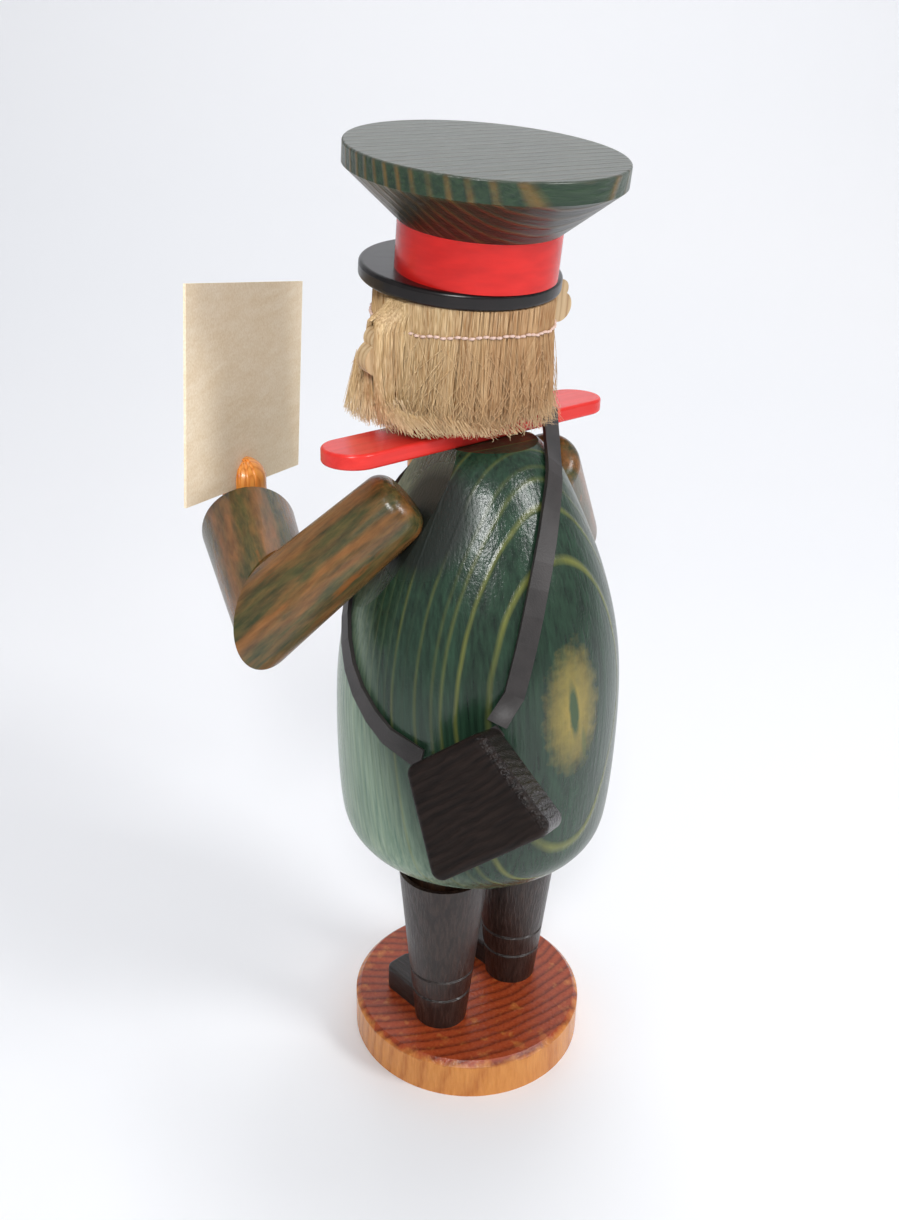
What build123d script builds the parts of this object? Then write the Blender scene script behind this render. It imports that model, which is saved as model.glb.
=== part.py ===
from build123d import *
from math import cos, radians, sin
import os

# German incense smoker: a turned wooden messenger with a letter, a shoulder bag and a wide cap.
#
# The figure is hollow. Its upper half lifts off a round plug on the two legs, an incense cone
# stands on the tray of the plug, and the smoke rises through the body, the neck and the head and
# comes out at the round mouth.
#
# Millimetres, +Z up. The origin is the middle of the base's underside. The figure looks along -Y,
# so its left arm, with the letter, is on +X.

os.makedirs("parts", exist_ok=True)

# General fits and overruns
overrun = 4.0                # how far a cutting tool runs past what it cuts
lift_clearance = 0.1         # radial play of the plug in the body's socket
small_gap = 0.3              # air between pieces that only lie beside each other

# Base: a turned disc of pine
base_radius = 30.0
base_height = 10.8
base_chamfer = 1.3

# Boots: turned cones, hollow at the top, each glued on the base with a dowel
boot_x = 12.9                # middle of the boot from the middle of the figure
boot_y = 3.5                 # the boots stand a little behind the middle
boot_height = 46.2
boot_ankle_radius = 6.7
boot_top_radius = 11.2
boot_groove_height = 9.7     # lower groove above the base
boot_cuff_wall = 1.1
boot_cuff_depth = 4.5
groove_depth = 0.55
groove_width = 0.9
groove_spacing = 6.6
ankle_dowel_radius = 2.0
ankle_dowel_in_base = 6.0
ankle_dowel_in_boot = 8.0

# Shoes: the fronts of the boots, sawn from a lath and glued to boot and base
shoe_length = 17.5           # from the middle of the boot to the toe
shoe_width = 9.0
shoe_height = 6.6
shoe_edge = 0.8
shoe_corner = 2.6

# Legs: dowels between the boots and the plug
leg_radius = 9.0
leg_gap = 4.0                # leg that shows between boot and body

# Plug with the cone tray, in the socket of the body
socket_radius = 22.6
plug_height = 8.0
plug_edge = 0.8
leg_tenon_radius = 4.0
leg_tenon_length = 5.0
air_hole_radius = 2.5
air_hole_ring = 15.5
air_hole_count = 2
tray_radius = 10.5
tray_rim_height = 2.4
tray_sheet = 0.5
nail_head_radius = 1.6
nail_head_height = 0.7
nail_radius = 0.8
nail_length = 6.0

# Body: turned and bored from below
body_height = 102.1
body_belly_radius = 33.8
# Outline from the underside up: share of the belly radius, share of the body's height
body_outline_shares = (
    (0.710, 0.000),
    (0.846, 0.0235),
    (0.935, 0.064),
    (0.976, 0.127),
    (1.000, 0.287),
    (0.962, 0.539),
    (0.799, 0.7355),
    (0.577, 0.897),
    (0.460, 0.962),
    (0.340, 1.000),
)
chamber_radius = 17.0
chamber_height = 58.0        # from the body's underside to the end of the straight bore
chamber_cone_height = 20.0
flue_radius = 3.0

# Collar: one flat board with round ends
collar_length = 80.3
collar_width = 13.4
collar_thickness = 3.4
collar_edge = 0.7
collar_forward = 4.8         # its middle is in front of the body's axis

# Neck: a bored dowel through the collar
neck_radius = 5.0
neck_forward = 5.6           # in front of the body's axis
neck_in_body = 11.0
neck_in_head = 5.5

# Arms: each a turned cone, sawn at the elbow and glued at a right angle
shoulder_x = 21.5
shoulder_y = -1.8
shoulder_z = 153.8
elbow_x = 45.5
elbow_y = -17.9
elbow_z = 129.0
cuff_x = 31.2
cuff_y = -48.1
cuff_z = 136.0
arm_shoulder_radius = 8.0
arm_elbow_radius = 9.6
arm_cuff_radius = 11.2
arm_shoulder_rounding = 4.0
arm_cuff_edge = 0.5
arm_seat_depth = 5.0         # from the middle of the shoulder end to the milled flat
arm_seat_shift = 6.0         # dowel from the middle of the shoulder end, along the flat
flat_turn = 25.0             # the flats look this far to the front, degrees
flat_lean = 30.0             # and this far up, degrees
shoulder_dowel_radius = 2.0
shoulder_dowel_in_arm = 7.0
shoulder_dowel_in_body = 8.0
elbow_dowel_radius = 2.0
elbow_dowel_in_arm = 7.0

# Hands: dowels with a round end, carved with fingers, glued to the cuffs
hand_radius = 5.3
hand_offset = 4.4            # hand axis in front of the cuff
hand_top_z = 152.0
hand_bottom_z = 129.5
hand_bottom_edge = 2.5
hand_tenon_radius = 2.5
hand_tenon_length = 6.0
hand_dome_share = 0.98       # of the hand's radius
finger_groove_radius = 0.45
finger_count = 4             # grooves between fingers on the back of the hand
finger_groove_step = 22.0    # degrees between them
finger_groove_turn = 55.0    # middle of the grooves, degrees from +X
finger_groove_arc = 75.0     # how far they run over the dome, degrees

# Letter: a card in the sawn slot of the left hand
letter_width = 63.0
letter_height = 47.0
letter_thickness = 0.6
letter_turn = 31.4           # how far the card turns from facing the front, degrees
letter_lean = 7.9            # how far it leans in its own plane, degrees
letter_past_hand = 1.5       # from the middle of its lower edge to the axis of the hand
slot_depth = 7.0             # from the top of the hand to the card's lower edge
slot_play = 0.12             # on each side of the card

# Head and cap lean back on a common axis
head_lean_back = 7.7
head_lean_side = 2.3
head_turn = 6.4
head_axis_y = -8.1           # where the cap's axis meets the underside of the collar
cap_height_on_axis = 32.5    # underside of the cap along that axis
head_radius = 17.9
head_forward = 3.1           # head in front of the cap's axis
head_seat_cut = 1.0          # sanded off its round bottom to sit on the collar
head_bottom_rounding = 10.0
head_top_rounding = 1.5
mouth_radius = 3.4
mouth_height = 13.8          # along the head's axis
flue_above_mouth = 2.4
nose_height = 20.5
nose_radius = 2.9
nose_length = 6.5
nose_dome_share = 0.98        # of the nose's radius
nose_tenon_radius = 1.5
nose_tenon_length = 4.0

# Ears: sawn pieces with two lobes
ear_reach = 22.9             # middle of the lower lobe from the head's axis
ear_height = 26.2            # middle of the lower lobe along the axis
ear_lobe_radius = 3.4
ear_top_radius = 2.2
ear_top_rise = 4.0
ear_top_in = 0.3
ear_thickness = 3.4
ear_root_height = 4.4
ear_in_head = 2.0
ear_behind = 3.5             # behind the middle of the head
ear_left_drop = 5.5          # the left ear sits lower, with the hair over it
ear_left_out = 1.6           # and stands out further

# Hair: flax fibres sewn in a row and glued round the back of the head
hair_from = -48.0            # edge on the left cheek, degrees from +X
hair_to = 228.0
hair_band_height = 8.4       # pressed together over the seam
hair_layers = 3
hair_columns = 118
hair_layer_step = 0.62
hair_strand_width = 0.52
hair_strand_depth = 0.4
hair_tip_share = 0.45
hair_flare = 3.2             # outward lean of the inner strands, degrees
hair_flare_step = 3.0        # more for each layer further out
hair_sway = 2.0              # sideways lean that comes and goes around the head, degrees
hair_sway_waves = 5
hair_above_strap = 0.5       # tips stay this far above the strap on the collar
hair_ragged = 2.2            # the tips end unevenly by this much
golden_share = 0.618         # spreads the uneven ends
thread_below_cap = 7.2       # seam under the cap's underside
thread_radius = 0.3

# Cap
brim_radius = 21.75
brim_forward = 5.3
brim_thickness = 3.5
brim_edge = 0.9
band_radius = 17.2
band_height = 10.0
crown_radius = 28.9
crown_cone_height = 10.1
crown_rim_height = 4.3
crown_edge = 0.5
cap_dowel_radius = 3.0
cap_dowel_in_head = 8.0
cap_dowel_in_crown = 6.0

# Strap: one flat band of leather, from the bag up the back, over the collar, down the chest
strap_width = 4.6
strap_thickness = 0.9
strap_off_body = 0.35
strap_over_collar = 17.4     # where it crosses the collar, on the right side
# Places on the body, each as degrees from +X and share of the body's height
strap_back_shares = (
    (58.7, 0.544),
    (60.7, 0.584),
    (63.9, 0.642),
    (67.5, 0.699),
    (71.2, 0.749),
    (76.0, 0.798),
    (82.0, 0.847),
    (88.6, 0.889),
    (95.7, 0.921),
    (104.2, 0.947),
    (112.0, 0.964),
)
strap_chest_shares = (
    (-111.0, 0.943),
    (-105.1, 0.935),
    (-93.8, 0.916),
    (-83.5, 0.891),
    (-74.1, 0.862),
    (-65.2, 0.828),
    (-56.6, 0.788),
    (-48.4, 0.744),
    (-41.0, 0.700),
    (-34.0, 0.656),
    (-27.3, 0.612),
    (-20.7, 0.568),
    (-13.6, 0.524),
    (-5.9, 0.485),
    (3.0, 0.446),
    (11.0, 0.416),
)

# Shoulder bag: a wooden block, hanging on the strap by its two upper corners
bag_turn_on_body = 39.3      # where it hangs, degrees from +X
bag_hang_height = 45.1       # upper back edge above the body's underside
bag_off_body = 1.8           # from the body to the middle of that edge
bag_face_turn = 24.6         # where its outer face looks, degrees from +X
bag_face_tilt = 20.8         # and how far up
bag_roll = 36.5              # slope of its upper edge, degrees
bag_top_width = 18.7
bag_bottom_width = 29.0
bag_height = 24.4
bag_thickness = 10.5
bag_edge = 1.6
bag_corner = 2.4
pin_radius = 0.6
pin_head_radius = 1.1
pin_head_height = 0.4
pin_length = 3.5
tab_length = 8.0             # ends of the strap, glued and pinned behind the bag's corners
tab_turn = 50.0              # they lie across the corners, degrees from the bag's middle line
pin_from_corner = 4.0

# Heights that follow
base_top = base_height
boot_top = base_top + boot_height
body_bottom = boot_top + leg_gap
body_top = body_bottom + body_height
plug_top = body_bottom + plug_height
collar_top = body_top + collar_thickness
corner_x = bag_top_width / 2
tiny_share = 1e-6            # of a curve's length, where a search along it stops
collar_front = -collar_forward - collar_width / 2
collar_back = -collar_forward + collar_width / 2


def beside(plane, x, y, z):
    """The same plane, moved by x, y and z along its own directions."""
    return Plane(origin=plane.from_local_coords((x, y, z)), x_dir=plane.x_dir, z_dir=plane.z_dir)


def twin(point):
    """The same point on the figure's other side."""
    return Vector(-point.X, point.Y, point.Z)


# Base disc, with a blind hole for each ankle dowel
with BuildPart() as base_disc:
    with BuildSketch():
        Circle(base_radius)
    extrude(amount=base_height)
    chamfer(base_disc.faces().sort_by(Axis.Z)[-1].edges(), length=base_chamfer)
    with Locations((boot_x, boot_y, base_top), (-boot_x, boot_y, base_top)):
        Hole(radius=ankle_dowel_radius, depth=ankle_dowel_in_base)

# Boots: a turned outline with two grooves, hollow for the leg at the top
boot_plane = Plane(origin=(boot_x, boot_y, base_top), x_dir=(1, 0, 0), z_dir=(0, -1, 0))
boot_axis = Axis((boot_x, boot_y, 0), (0, 0, 1))
boot_floor = boot_top - boot_cuff_depth


def boot_radius(height):
    """Radius of the boot's plain cone at a height above the base."""
    return boot_ankle_radius + (boot_top_radius - boot_ankle_radius) * height / boot_height


boot_outline = [(0, 0), (boot_radius(0), 0)]
for groove_height in (boot_groove_height, boot_groove_height + groove_spacing):
    for height, depth in (
        (groove_height - groove_width / 2, 0),
        (groove_height, groove_depth),
        (groove_height + groove_width / 2, 0),
    ):
        boot_outline.append((boot_radius(height) - depth, height))
boot_outline += [
    (boot_top_radius, boot_height),
    (boot_top_radius - boot_cuff_wall, boot_height),
    (boot_top_radius - boot_cuff_wall, boot_height - boot_cuff_depth),
    (0, boot_height - boot_cuff_depth),
]
with BuildPart() as boot_left:
    with BuildSketch(boot_plane):
        with BuildLine():
            Polyline(*boot_outline, close=True)
        make_face()
    revolve(axis=boot_axis)
    with Locations((boot_x, boot_y, boot_floor)):
        Hole(radius=leg_tenon_radius, depth=leg_tenon_length)
    with Locations(Plane(origin=(boot_x, boot_y, base_top), z_dir=(0, 0, -1))):
        Hole(radius=ankle_dowel_radius, depth=ankle_dowel_in_boot)
with BuildPart() as boot_right:
    mirror(boot_left.part, about=Plane.YZ)

with BuildPart() as ankle_dowels:
    with BuildSketch(Plane.XY.offset(base_top - ankle_dowel_in_base)):
        with Locations((boot_x, boot_y), (-boot_x, boot_y)):
            Circle(ankle_dowel_radius)
    extrude(amount=ankle_dowel_in_base + ankle_dowel_in_boot)

# Shoe: a piece of lath with rounded corners, hollowed at the back to fit round the boot
with BuildPart() as shoe_left:
    with BuildSketch(Plane.XY.offset(base_top)):
        with Locations((boot_x, boot_y - shoe_length / 2)):
            Rectangle(shoe_width, shoe_length)
    extrude(amount=shoe_height)
    fillet(shoe_left.edges().filter_by(Axis.Z).group_by(Axis.Y)[0], radius=shoe_corner)
    fillet(shoe_left.faces().sort_by(Axis.Z)[-1].edges(), radius=shoe_edge)
    with BuildSketch(boot_plane):
        with BuildLine():
            Polyline(
                (0, 0),
                (boot_radius(0), 0),
                (boot_radius(shoe_length), shoe_length),
                (0, shoe_length),
                close=True,
            )
        make_face()
    revolve(axis=boot_axis, mode=Mode.SUBTRACT)
with BuildPart() as shoe_right:
    mirror(shoe_left.part, about=Plane.YZ)

# Leg: a dowel with a tenon at each end, from the boot's hollow to the plug
with BuildPart() as leg_left:
    with BuildSketch(Plane.XY.offset(boot_floor)):
        with Locations((boot_x, boot_y)):
            Circle(leg_radius)
    extrude(amount=body_bottom - boot_floor)
    with BuildSketch(Plane.XY.offset(boot_floor - leg_tenon_length)):
        with Locations((boot_x, boot_y)):
            Circle(leg_tenon_radius)
    extrude(amount=leg_tenon_length + body_bottom - boot_floor + leg_tenon_length)
with BuildPart() as leg_right:
    mirror(leg_left.part, about=Plane.YZ)

# Plug: carries the body, closes it from below and lets air in through two holes
with BuildPart() as floor_plug:
    with BuildSketch(Plane.XY.offset(body_bottom)):
        Circle(socket_radius - lift_clearance)
    extrude(amount=plug_height)
    chamfer(floor_plug.faces().sort_by(Axis.Z)[-1].edges(), length=plug_edge)
    with Locations((0, 0, plug_top)):
        Hole(radius=nail_radius, depth=nail_length)
        with PolarLocations(air_hole_ring, air_hole_count, start_angle=90):
            Hole(radius=air_hole_radius, depth=plug_height)
    with Locations(Plane(origin=(0, 0, body_bottom), x_dir=(1, 0, 0), z_dir=(0, 0, -1))):
        with Locations((boot_x, -boot_y), (-boot_x, -boot_y)):
            Hole(radius=leg_tenon_radius, depth=leg_tenon_length)

# Tray: a pressed sheet dish for the incense cone, and the nail that holds it
with BuildPart() as cone_tray:
    with BuildSketch(Plane.XY.offset(plug_top)):
        Circle(tray_radius)
    extrude(amount=tray_rim_height)
    with BuildSketch(Plane.XY.offset(plug_top + tray_sheet)):
        Circle(tray_radius - tray_sheet)
    extrude(amount=tray_rim_height, mode=Mode.SUBTRACT)
    with Locations((0, 0, plug_top + tray_sheet)):
        Hole(radius=nail_radius, depth=tray_sheet)
with BuildPart() as tray_nail:
    with BuildSketch(Plane.XY.offset(plug_top - nail_length)):
        Circle(nail_radius)
    extrude(amount=nail_length + tray_sheet)
    with BuildSketch(Plane.XY.offset(plug_top + tray_sheet)):
        Circle(nail_head_radius)
    extrude(amount=nail_head_height)

# Planes and points that the body shares with the arms, the neck and the head
head_plane = Plane(origin=(0, head_axis_y, body_top)).rotated((-head_lean_back, head_lean_side, -head_turn))
head_middle = beside(head_plane, 0, -head_forward, 0)
cap_plane = head_plane.offset(cap_height_on_axis)

shoulder = Vector(shoulder_x, shoulder_y, shoulder_z)
elbow = Vector(elbow_x, elbow_y, elbow_z)
cuff = Vector(cuff_x, cuff_y, cuff_z)
upper_way = (elbow - shoulder).normalized()
fore_way = (cuff - elbow).normalized()
upper_length = (elbow - shoulder).length
fore_length = (cuff - elbow).length
flat_way = Vector(
    cos(radians(flat_turn)) * cos(radians(flat_lean)),
    -sin(radians(flat_turn)) * cos(radians(flat_lean)),
    sin(radians(flat_lean)),
)
flat_along = (upper_way - flat_way * upper_way.dot(flat_way)).normalized()
flat_middle = shoulder - flat_way * arm_seat_depth + flat_along * arm_seat_shift
flat_left = Plane(origin=flat_middle, z_dir=flat_way)
flat_right = Plane(origin=twin(flat_middle), z_dir=twin(flat_way))
mitre_plane = Plane(origin=elbow, z_dir=upper_way + fore_way)

neck_y = -neck_forward
neck_foot = body_top - neck_in_body
neck_top = collar_top + neck_in_head
mouth_plane = Plane(
    origin=head_middle.from_local_coords((0, 0, mouth_height)),
    x_dir=head_plane.x_dir,
    z_dir=head_plane.y_dir * -1,
)
flue_top = mouth_plane.origin.Z + mouth_radius + flue_above_mouth

# Body: turned outside, bored from below, milled flat where the arms sit
body_points = [
    (body_belly_radius * radius_share, body_bottom + body_height * height_share)
    for radius_share, height_share in body_outline_shares
]
body_curve = Spline(*[(r, 0, z) for r, z in body_points])
chamber_top = body_bottom + chamber_height
with BuildPart() as body_shell:
    with BuildSketch(Plane.XZ):
        with BuildLine():
            Spline(*body_points)
            Polyline(body_points[-1], (0, body_top), (0, body_bottom), body_points[0])
        make_face()
    revolve(axis=Axis.Z)
    with BuildSketch(Plane.XZ):
        with BuildLine():
            Polyline(
                (0, body_bottom),
                (socket_radius, body_bottom),
                (socket_radius, plug_top),
                (chamber_radius, plug_top),
                (chamber_radius, chamber_top),
                (flue_radius, chamber_top + chamber_cone_height),
                (0, chamber_top + chamber_cone_height),
                close=True,
            )
        make_face()
    revolve(axis=Axis.Z, mode=Mode.SUBTRACT)
    with BuildSketch(Plane.XY.offset(chamber_top)):
        with Locations((0, neck_y)):
            Circle(flue_radius)
    extrude(amount=neck_foot - chamber_top, mode=Mode.SUBTRACT)
    with BuildSketch(Plane.XY.offset(neck_foot)):
        with Locations((0, neck_y)):
            Circle(neck_radius)
    extrude(amount=neck_in_body + overrun, mode=Mode.SUBTRACT)
    split(bisect_by=flat_left, keep=Keep.BOTTOM)
    split(bisect_by=flat_right, keep=Keep.BOTTOM)
    with Locations(flat_left, flat_right):
        Hole(radius=shoulder_dowel_radius, depth=shoulder_dowel_in_body)

# Collar: a board lying on the body
with BuildPart() as collar:
    with BuildSketch(Plane.XY.offset(body_top)):
        with Locations((0, -collar_forward)):
            SlotOverall(collar_length, collar_width)
        with Locations((0, neck_y)):
            Circle(neck_radius, mode=Mode.SUBTRACT)
    extrude(amount=collar_thickness)
    upper_rim = collar.faces().sort_by(Axis.Z)[-1].outer_wire().edges()
    lower_rim = collar.faces().sort_by(Axis.Z)[0].outer_wire().edges()
    fillet(upper_rim + lower_rim, radius=collar_edge)

with BuildPart() as neck_tube:
    with BuildSketch(Plane.XY.offset(neck_foot)):
        with Locations((0, neck_y)):
            Circle(neck_radius)
            Circle(flue_radius, mode=Mode.SUBTRACT)
    extrude(amount=neck_top - neck_foot)

# Upper arm: a cone with a rounded shoulder, cut flat where it sits and sawn at the elbow
saw_overrun = arm_cuff_radius + overrun
upper_taper = (arm_elbow_radius - arm_shoulder_radius) / upper_length
with BuildPart() as upper_arm_left:
    with Locations(Plane(origin=shoulder, z_dir=upper_way)):
        Cone(
            bottom_radius=arm_shoulder_radius,
            top_radius=arm_elbow_radius + upper_taper * saw_overrun,
            height=upper_length + saw_overrun,
            align=(Align.CENTER, Align.CENTER, Align.MIN),
        )
    fillet(upper_arm_left.edges().sort_by(Axis(shoulder, upper_way))[0], radius=arm_shoulder_rounding)
    split(bisect_by=flat_left, keep=Keep.TOP)
    split(bisect_by=mitre_plane, keep=Keep.BOTTOM)
    with Locations(Plane(origin=flat_middle, z_dir=flat_way * -1)):
        Hole(radius=shoulder_dowel_radius, depth=shoulder_dowel_in_arm)
    with Locations(mitre_plane):
        Hole(radius=elbow_dowel_radius, depth=elbow_dowel_in_arm)
with BuildPart() as upper_arm_right:
    mirror(upper_arm_left.part, about=Plane.YZ)

# Forearm: a cone that widens to the cuff
fore_taper = (arm_cuff_radius - arm_elbow_radius) / fore_length
with BuildPart() as forearm_left:
    with Locations(Plane(origin=cuff, z_dir=fore_way * -1)):
        Cone(
            bottom_radius=arm_cuff_radius,
            top_radius=arm_elbow_radius - fore_taper * saw_overrun,
            height=fore_length + saw_overrun,
            align=(Align.CENTER, Align.CENTER, Align.MIN),
        )
    fillet(forearm_left.edges().sort_by(Axis(cuff, fore_way))[-1], radius=arm_cuff_edge)
    split(bisect_by=mitre_plane, keep=Keep.TOP)
    with Locations(Plane(origin=elbow, z_dir=mitre_plane.z_dir * -1)):
        Hole(radius=elbow_dowel_radius, depth=elbow_dowel_in_arm)
    with Locations(Plane(origin=cuff, z_dir=fore_way)):
        Hole(radius=hand_tenon_radius, depth=hand_tenon_length)
with BuildPart() as forearm_right:
    mirror(forearm_left.part, about=Plane.YZ)

with BuildPart() as shoulder_dowels:
    with BuildSketch(*[flat.offset(-shoulder_dowel_in_body) for flat in (flat_left, flat_right)]):
        Circle(shoulder_dowel_radius)
    extrude(amount=shoulder_dowel_in_body + shoulder_dowel_in_arm)
with BuildPart() as elbow_dowels:
    with BuildSketch(mitre_plane.offset(-elbow_dowel_in_arm)):
        Circle(elbow_dowel_radius)
    extrude(amount=elbow_dowel_in_arm + elbow_dowel_in_arm)
    mirror(about=Plane.YZ)

# Hand: an upright dowel with a round top, its back flat on the cuff, fingers carved on it
hand_middle = cuff + fore_way * hand_offset
hand_height = hand_top_z - hand_bottom_z
hand_foot = Vector(hand_middle.X, hand_middle.Y, hand_bottom_z)
hand_dome = hand_radius * hand_dome_share
with BuildPart() as hand_blank:
    with BuildSketch(Plane(origin=hand_foot)):
        Circle(hand_radius)
    extrude(amount=hand_height)
    fillet(hand_blank.edges().sort_by(Axis.Z)[-1], radius=hand_dome)
    fillet(hand_blank.edges().sort_by(Axis.Z)[0], radius=hand_bottom_edge)
    split(bisect_by=Plane(origin=cuff, z_dir=fore_way), keep=Keep.TOP)
    with BuildSketch(Plane(origin=cuff - fore_way * hand_tenon_length, z_dir=fore_way)):
        Circle(hand_tenon_radius)
    extrude(amount=hand_tenon_length + hand_offset)
    for finger in range(finger_count):
        turn = finger_groove_turn + (finger - (finger_count - 1) / 2) * finger_groove_step
        out = Vector(cos(radians(turn)), sin(radians(turn)), 0)
        groove_plane = Plane(origin=hand_foot, x_dir=out, z_dir=out.cross(Vector(0, 0, 1)))
        with BuildLine(groove_plane) as groove_path:
            side = Line((hand_radius, hand_height / 2), (hand_radius, hand_height - hand_dome))
            JernArc(start=side @ 1, tangent=side % 1, radius=hand_dome, arc_size=finger_groove_arc)
        with BuildSketch(Plane(origin=groove_path.line @ 0, z_dir=groove_path.line % 0)):
            Circle(finger_groove_radius)
        sweep(path=groove_path.line, mode=Mode.SUBTRACT)

# Letter: it leans in the plane that the hand's axis and the card's turn give
turn, lean = radians(letter_turn), radians(letter_lean)
letter_plane = Plane(
    origin=(hand_middle.X, hand_middle.Y, hand_top_z - slot_depth),
    x_dir=(cos(turn) * cos(lean), sin(turn) * cos(lean), sin(lean)),
    z_dir=(sin(turn), -cos(turn), 0),
)
with BuildPart() as letter:
    with BuildSketch(letter_plane):
        with Locations((-letter_past_hand, letter_height / 2)):
            Rectangle(letter_width, letter_height)
    extrude(amount=letter_thickness / 2, both=True)

with BuildPart() as hand_left:
    add(hand_blank.part)
    with BuildSketch(letter_plane):
        with Locations((0, -slot_play)):
            Rectangle(hand_radius * 4, letter_height, align=(Align.CENTER, Align.MIN))
    extrude(amount=letter_thickness / 2 + slot_play, both=True, mode=Mode.SUBTRACT)
with BuildPart() as hand_right:
    mirror(hand_blank.part, about=Plane.YZ)

# Ears: two lobes on a root that is let into the side of the head
ear_plane = Plane(
    origin=head_middle.from_local_coords((0, ear_behind + ear_thickness / 2, 0)),
    x_dir=head_plane.x_dir,
    z_dir=head_plane.y_dir * -1,
)
ear_root_start = head_radius - ear_in_head
ear_root_length = ear_reach - ear_root_start
ear_left_height = ear_height - ear_left_drop
ear_left_reach = ear_reach + ear_left_out
with BuildPart() as ear_left:
    with BuildSketch(ear_plane):
        with Locations((ear_left_reach, ear_left_height)):
            Circle(ear_lobe_radius)
        with Locations((ear_left_reach - ear_top_in, ear_left_height + ear_top_rise)):
            Circle(ear_top_radius)
        with Locations((ear_root_start, ear_left_height)):
            Rectangle(ear_root_length + ear_left_out, ear_root_height, align=(Align.MIN, Align.CENTER))
    extrude(amount=ear_thickness)
with BuildPart() as ear_right:
    with BuildSketch(ear_plane):
        with Locations((-ear_reach, ear_height)):
            Circle(ear_lobe_radius)
        with Locations((ear_top_in - ear_reach, ear_height + ear_top_rise)):
            Circle(ear_top_radius)
        with Locations((-ear_root_start, ear_height)):
            Rectangle(ear_root_length, ear_root_height, align=(Align.MAX, Align.CENTER))
    extrude(amount=ear_thickness)

# Head: a cylinder with a round bottom, bored for the smoke and let in for neck, nose and ears
head_start = collar_thickness - head_seat_cut
mouth_to_flue = (Vector(0, neck_y, mouth_plane.origin.Z) - mouth_plane.origin).dot(head_plane.y_dir)
nose_plane = beside(mouth_plane, 0, nose_height - mouth_height, 0)
with BuildPart() as head:
    with BuildSketch(head_middle.offset(head_start)):
        Circle(head_radius)
    extrude(amount=cap_height_on_axis - head_start)
    head_axis = Axis(head_plane.origin, head_plane.z_dir)
    fillet(head.edges().sort_by(head_axis)[0], radius=head_bottom_rounding)
    fillet(head.edges().sort_by(head_axis)[-1], radius=head_top_rounding)
    split(bisect_by=Plane.XY.offset(collar_top), keep=Keep.TOP)
    with BuildSketch(Plane.XY.offset(collar_top)):
        with Locations((0, neck_y)):
            Circle(neck_radius)
    extrude(amount=neck_in_head, mode=Mode.SUBTRACT)
    with BuildSketch(Plane.XY.offset(collar_top)):
        with Locations((0, neck_y)):
            Circle(flue_radius)
    extrude(amount=flue_top - collar_top, mode=Mode.SUBTRACT)
    with BuildSketch(mouth_plane.offset(-mouth_to_flue)):
        Circle(mouth_radius)
    extrude(amount=mouth_to_flue + head_radius + overrun, mode=Mode.SUBTRACT)
    with BuildSketch(nose_plane.offset(head_radius - nose_tenon_length)):
        Circle(nose_tenon_radius)
    extrude(amount=nose_tenon_length + overrun, mode=Mode.SUBTRACT)
    with BuildSketch(ear_plane):
        with Locations((ear_root_start, ear_left_height)):
            Rectangle(ear_root_length, ear_root_height, align=(Align.MIN, Align.CENTER))
        with Locations((-ear_root_start, ear_height)):
            Rectangle(ear_root_length, ear_root_height, align=(Align.MAX, Align.CENTER))
    extrude(amount=ear_thickness, mode=Mode.SUBTRACT)
    with Locations(cap_plane):
        Hole(radius=cap_dowel_radius, depth=cap_dowel_in_head)

with BuildPart() as nose:
    with BuildSketch(nose_plane):
        Circle(nose_radius)
    extrude(amount=head_radius + nose_length)
    nose_axis = Axis(nose_plane.origin, nose_plane.z_dir)
    fillet(nose.edges().sort_by(nose_axis)[-1], radius=nose_radius * nose_dome_share)
    with BuildSketch(head_middle.offset(head_start)):
        Circle(head_radius)
    extrude(amount=cap_height_on_axis - head_start, mode=Mode.SUBTRACT)
    with BuildSketch(nose_plane.offset(head_radius - nose_tenon_length)):
        Circle(nose_tenon_radius)
    extrude(amount=nose_tenon_length + nose_length / 2)

# Hair: fibres hanging from a pressed band round the back of the head, with gaps for the ears
hair_radius = head_radius + hair_layers * hair_layer_step
hair_band_bottom = cap_height_on_axis - hair_band_height
hair_root = hair_band_bottom + hair_strand_width
hair_floor = collar_top + strap_thickness + hair_above_strap
ear_gap = ear_thickness / 2 + hair_strand_width + small_gap


def hair_strand(layer, column):
    """One fibre bundle: a four-sided taper from the band down to its own ragged tip."""
    turn = radians(hair_from + (hair_to - hair_from) * (column + (layer + 1) / (hair_layers + 1)) / hair_columns)
    radial = head_plane.x_dir * cos(turn) + head_plane.y_dir * sin(turn)
    across = head_plane.y_dir * cos(turn) - head_plane.x_dir * sin(turn)
    radius = head_radius + (layer + 0.5) * hair_layer_step
    if abs(radius * sin(turn) - ear_behind) < ear_gap:
        return None
    lean = radians(hair_flare + layer * hair_flare_step)
    sway = radians(hair_sway) * sin(hair_sway_waves * turn)
    root = head_middle.from_local_coords((0, 0, hair_root)) + radial * radius
    way = (radial * sin(lean) + across * sin(sway) - head_plane.z_dir * cos(lean)).normalized()
    step = column * hair_layers + layer
    ragged = hair_ragged * ((step * golden_share) % 1)
    tip = root + way * ((root.Z - hair_floor - ragged) / -way.Z)
    wires = []
    for middle, share in ((root, 1), (tip, hair_tip_share)):
        a = across * hair_strand_width * share / 2
        r = radial * hair_strand_depth * share / 2
        wires.append(Wire.make_polygon([middle - a - r, middle + a - r, middle + a + r, middle - a + r]))
    return Solid.make_loft(wires, ruled=True)


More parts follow.
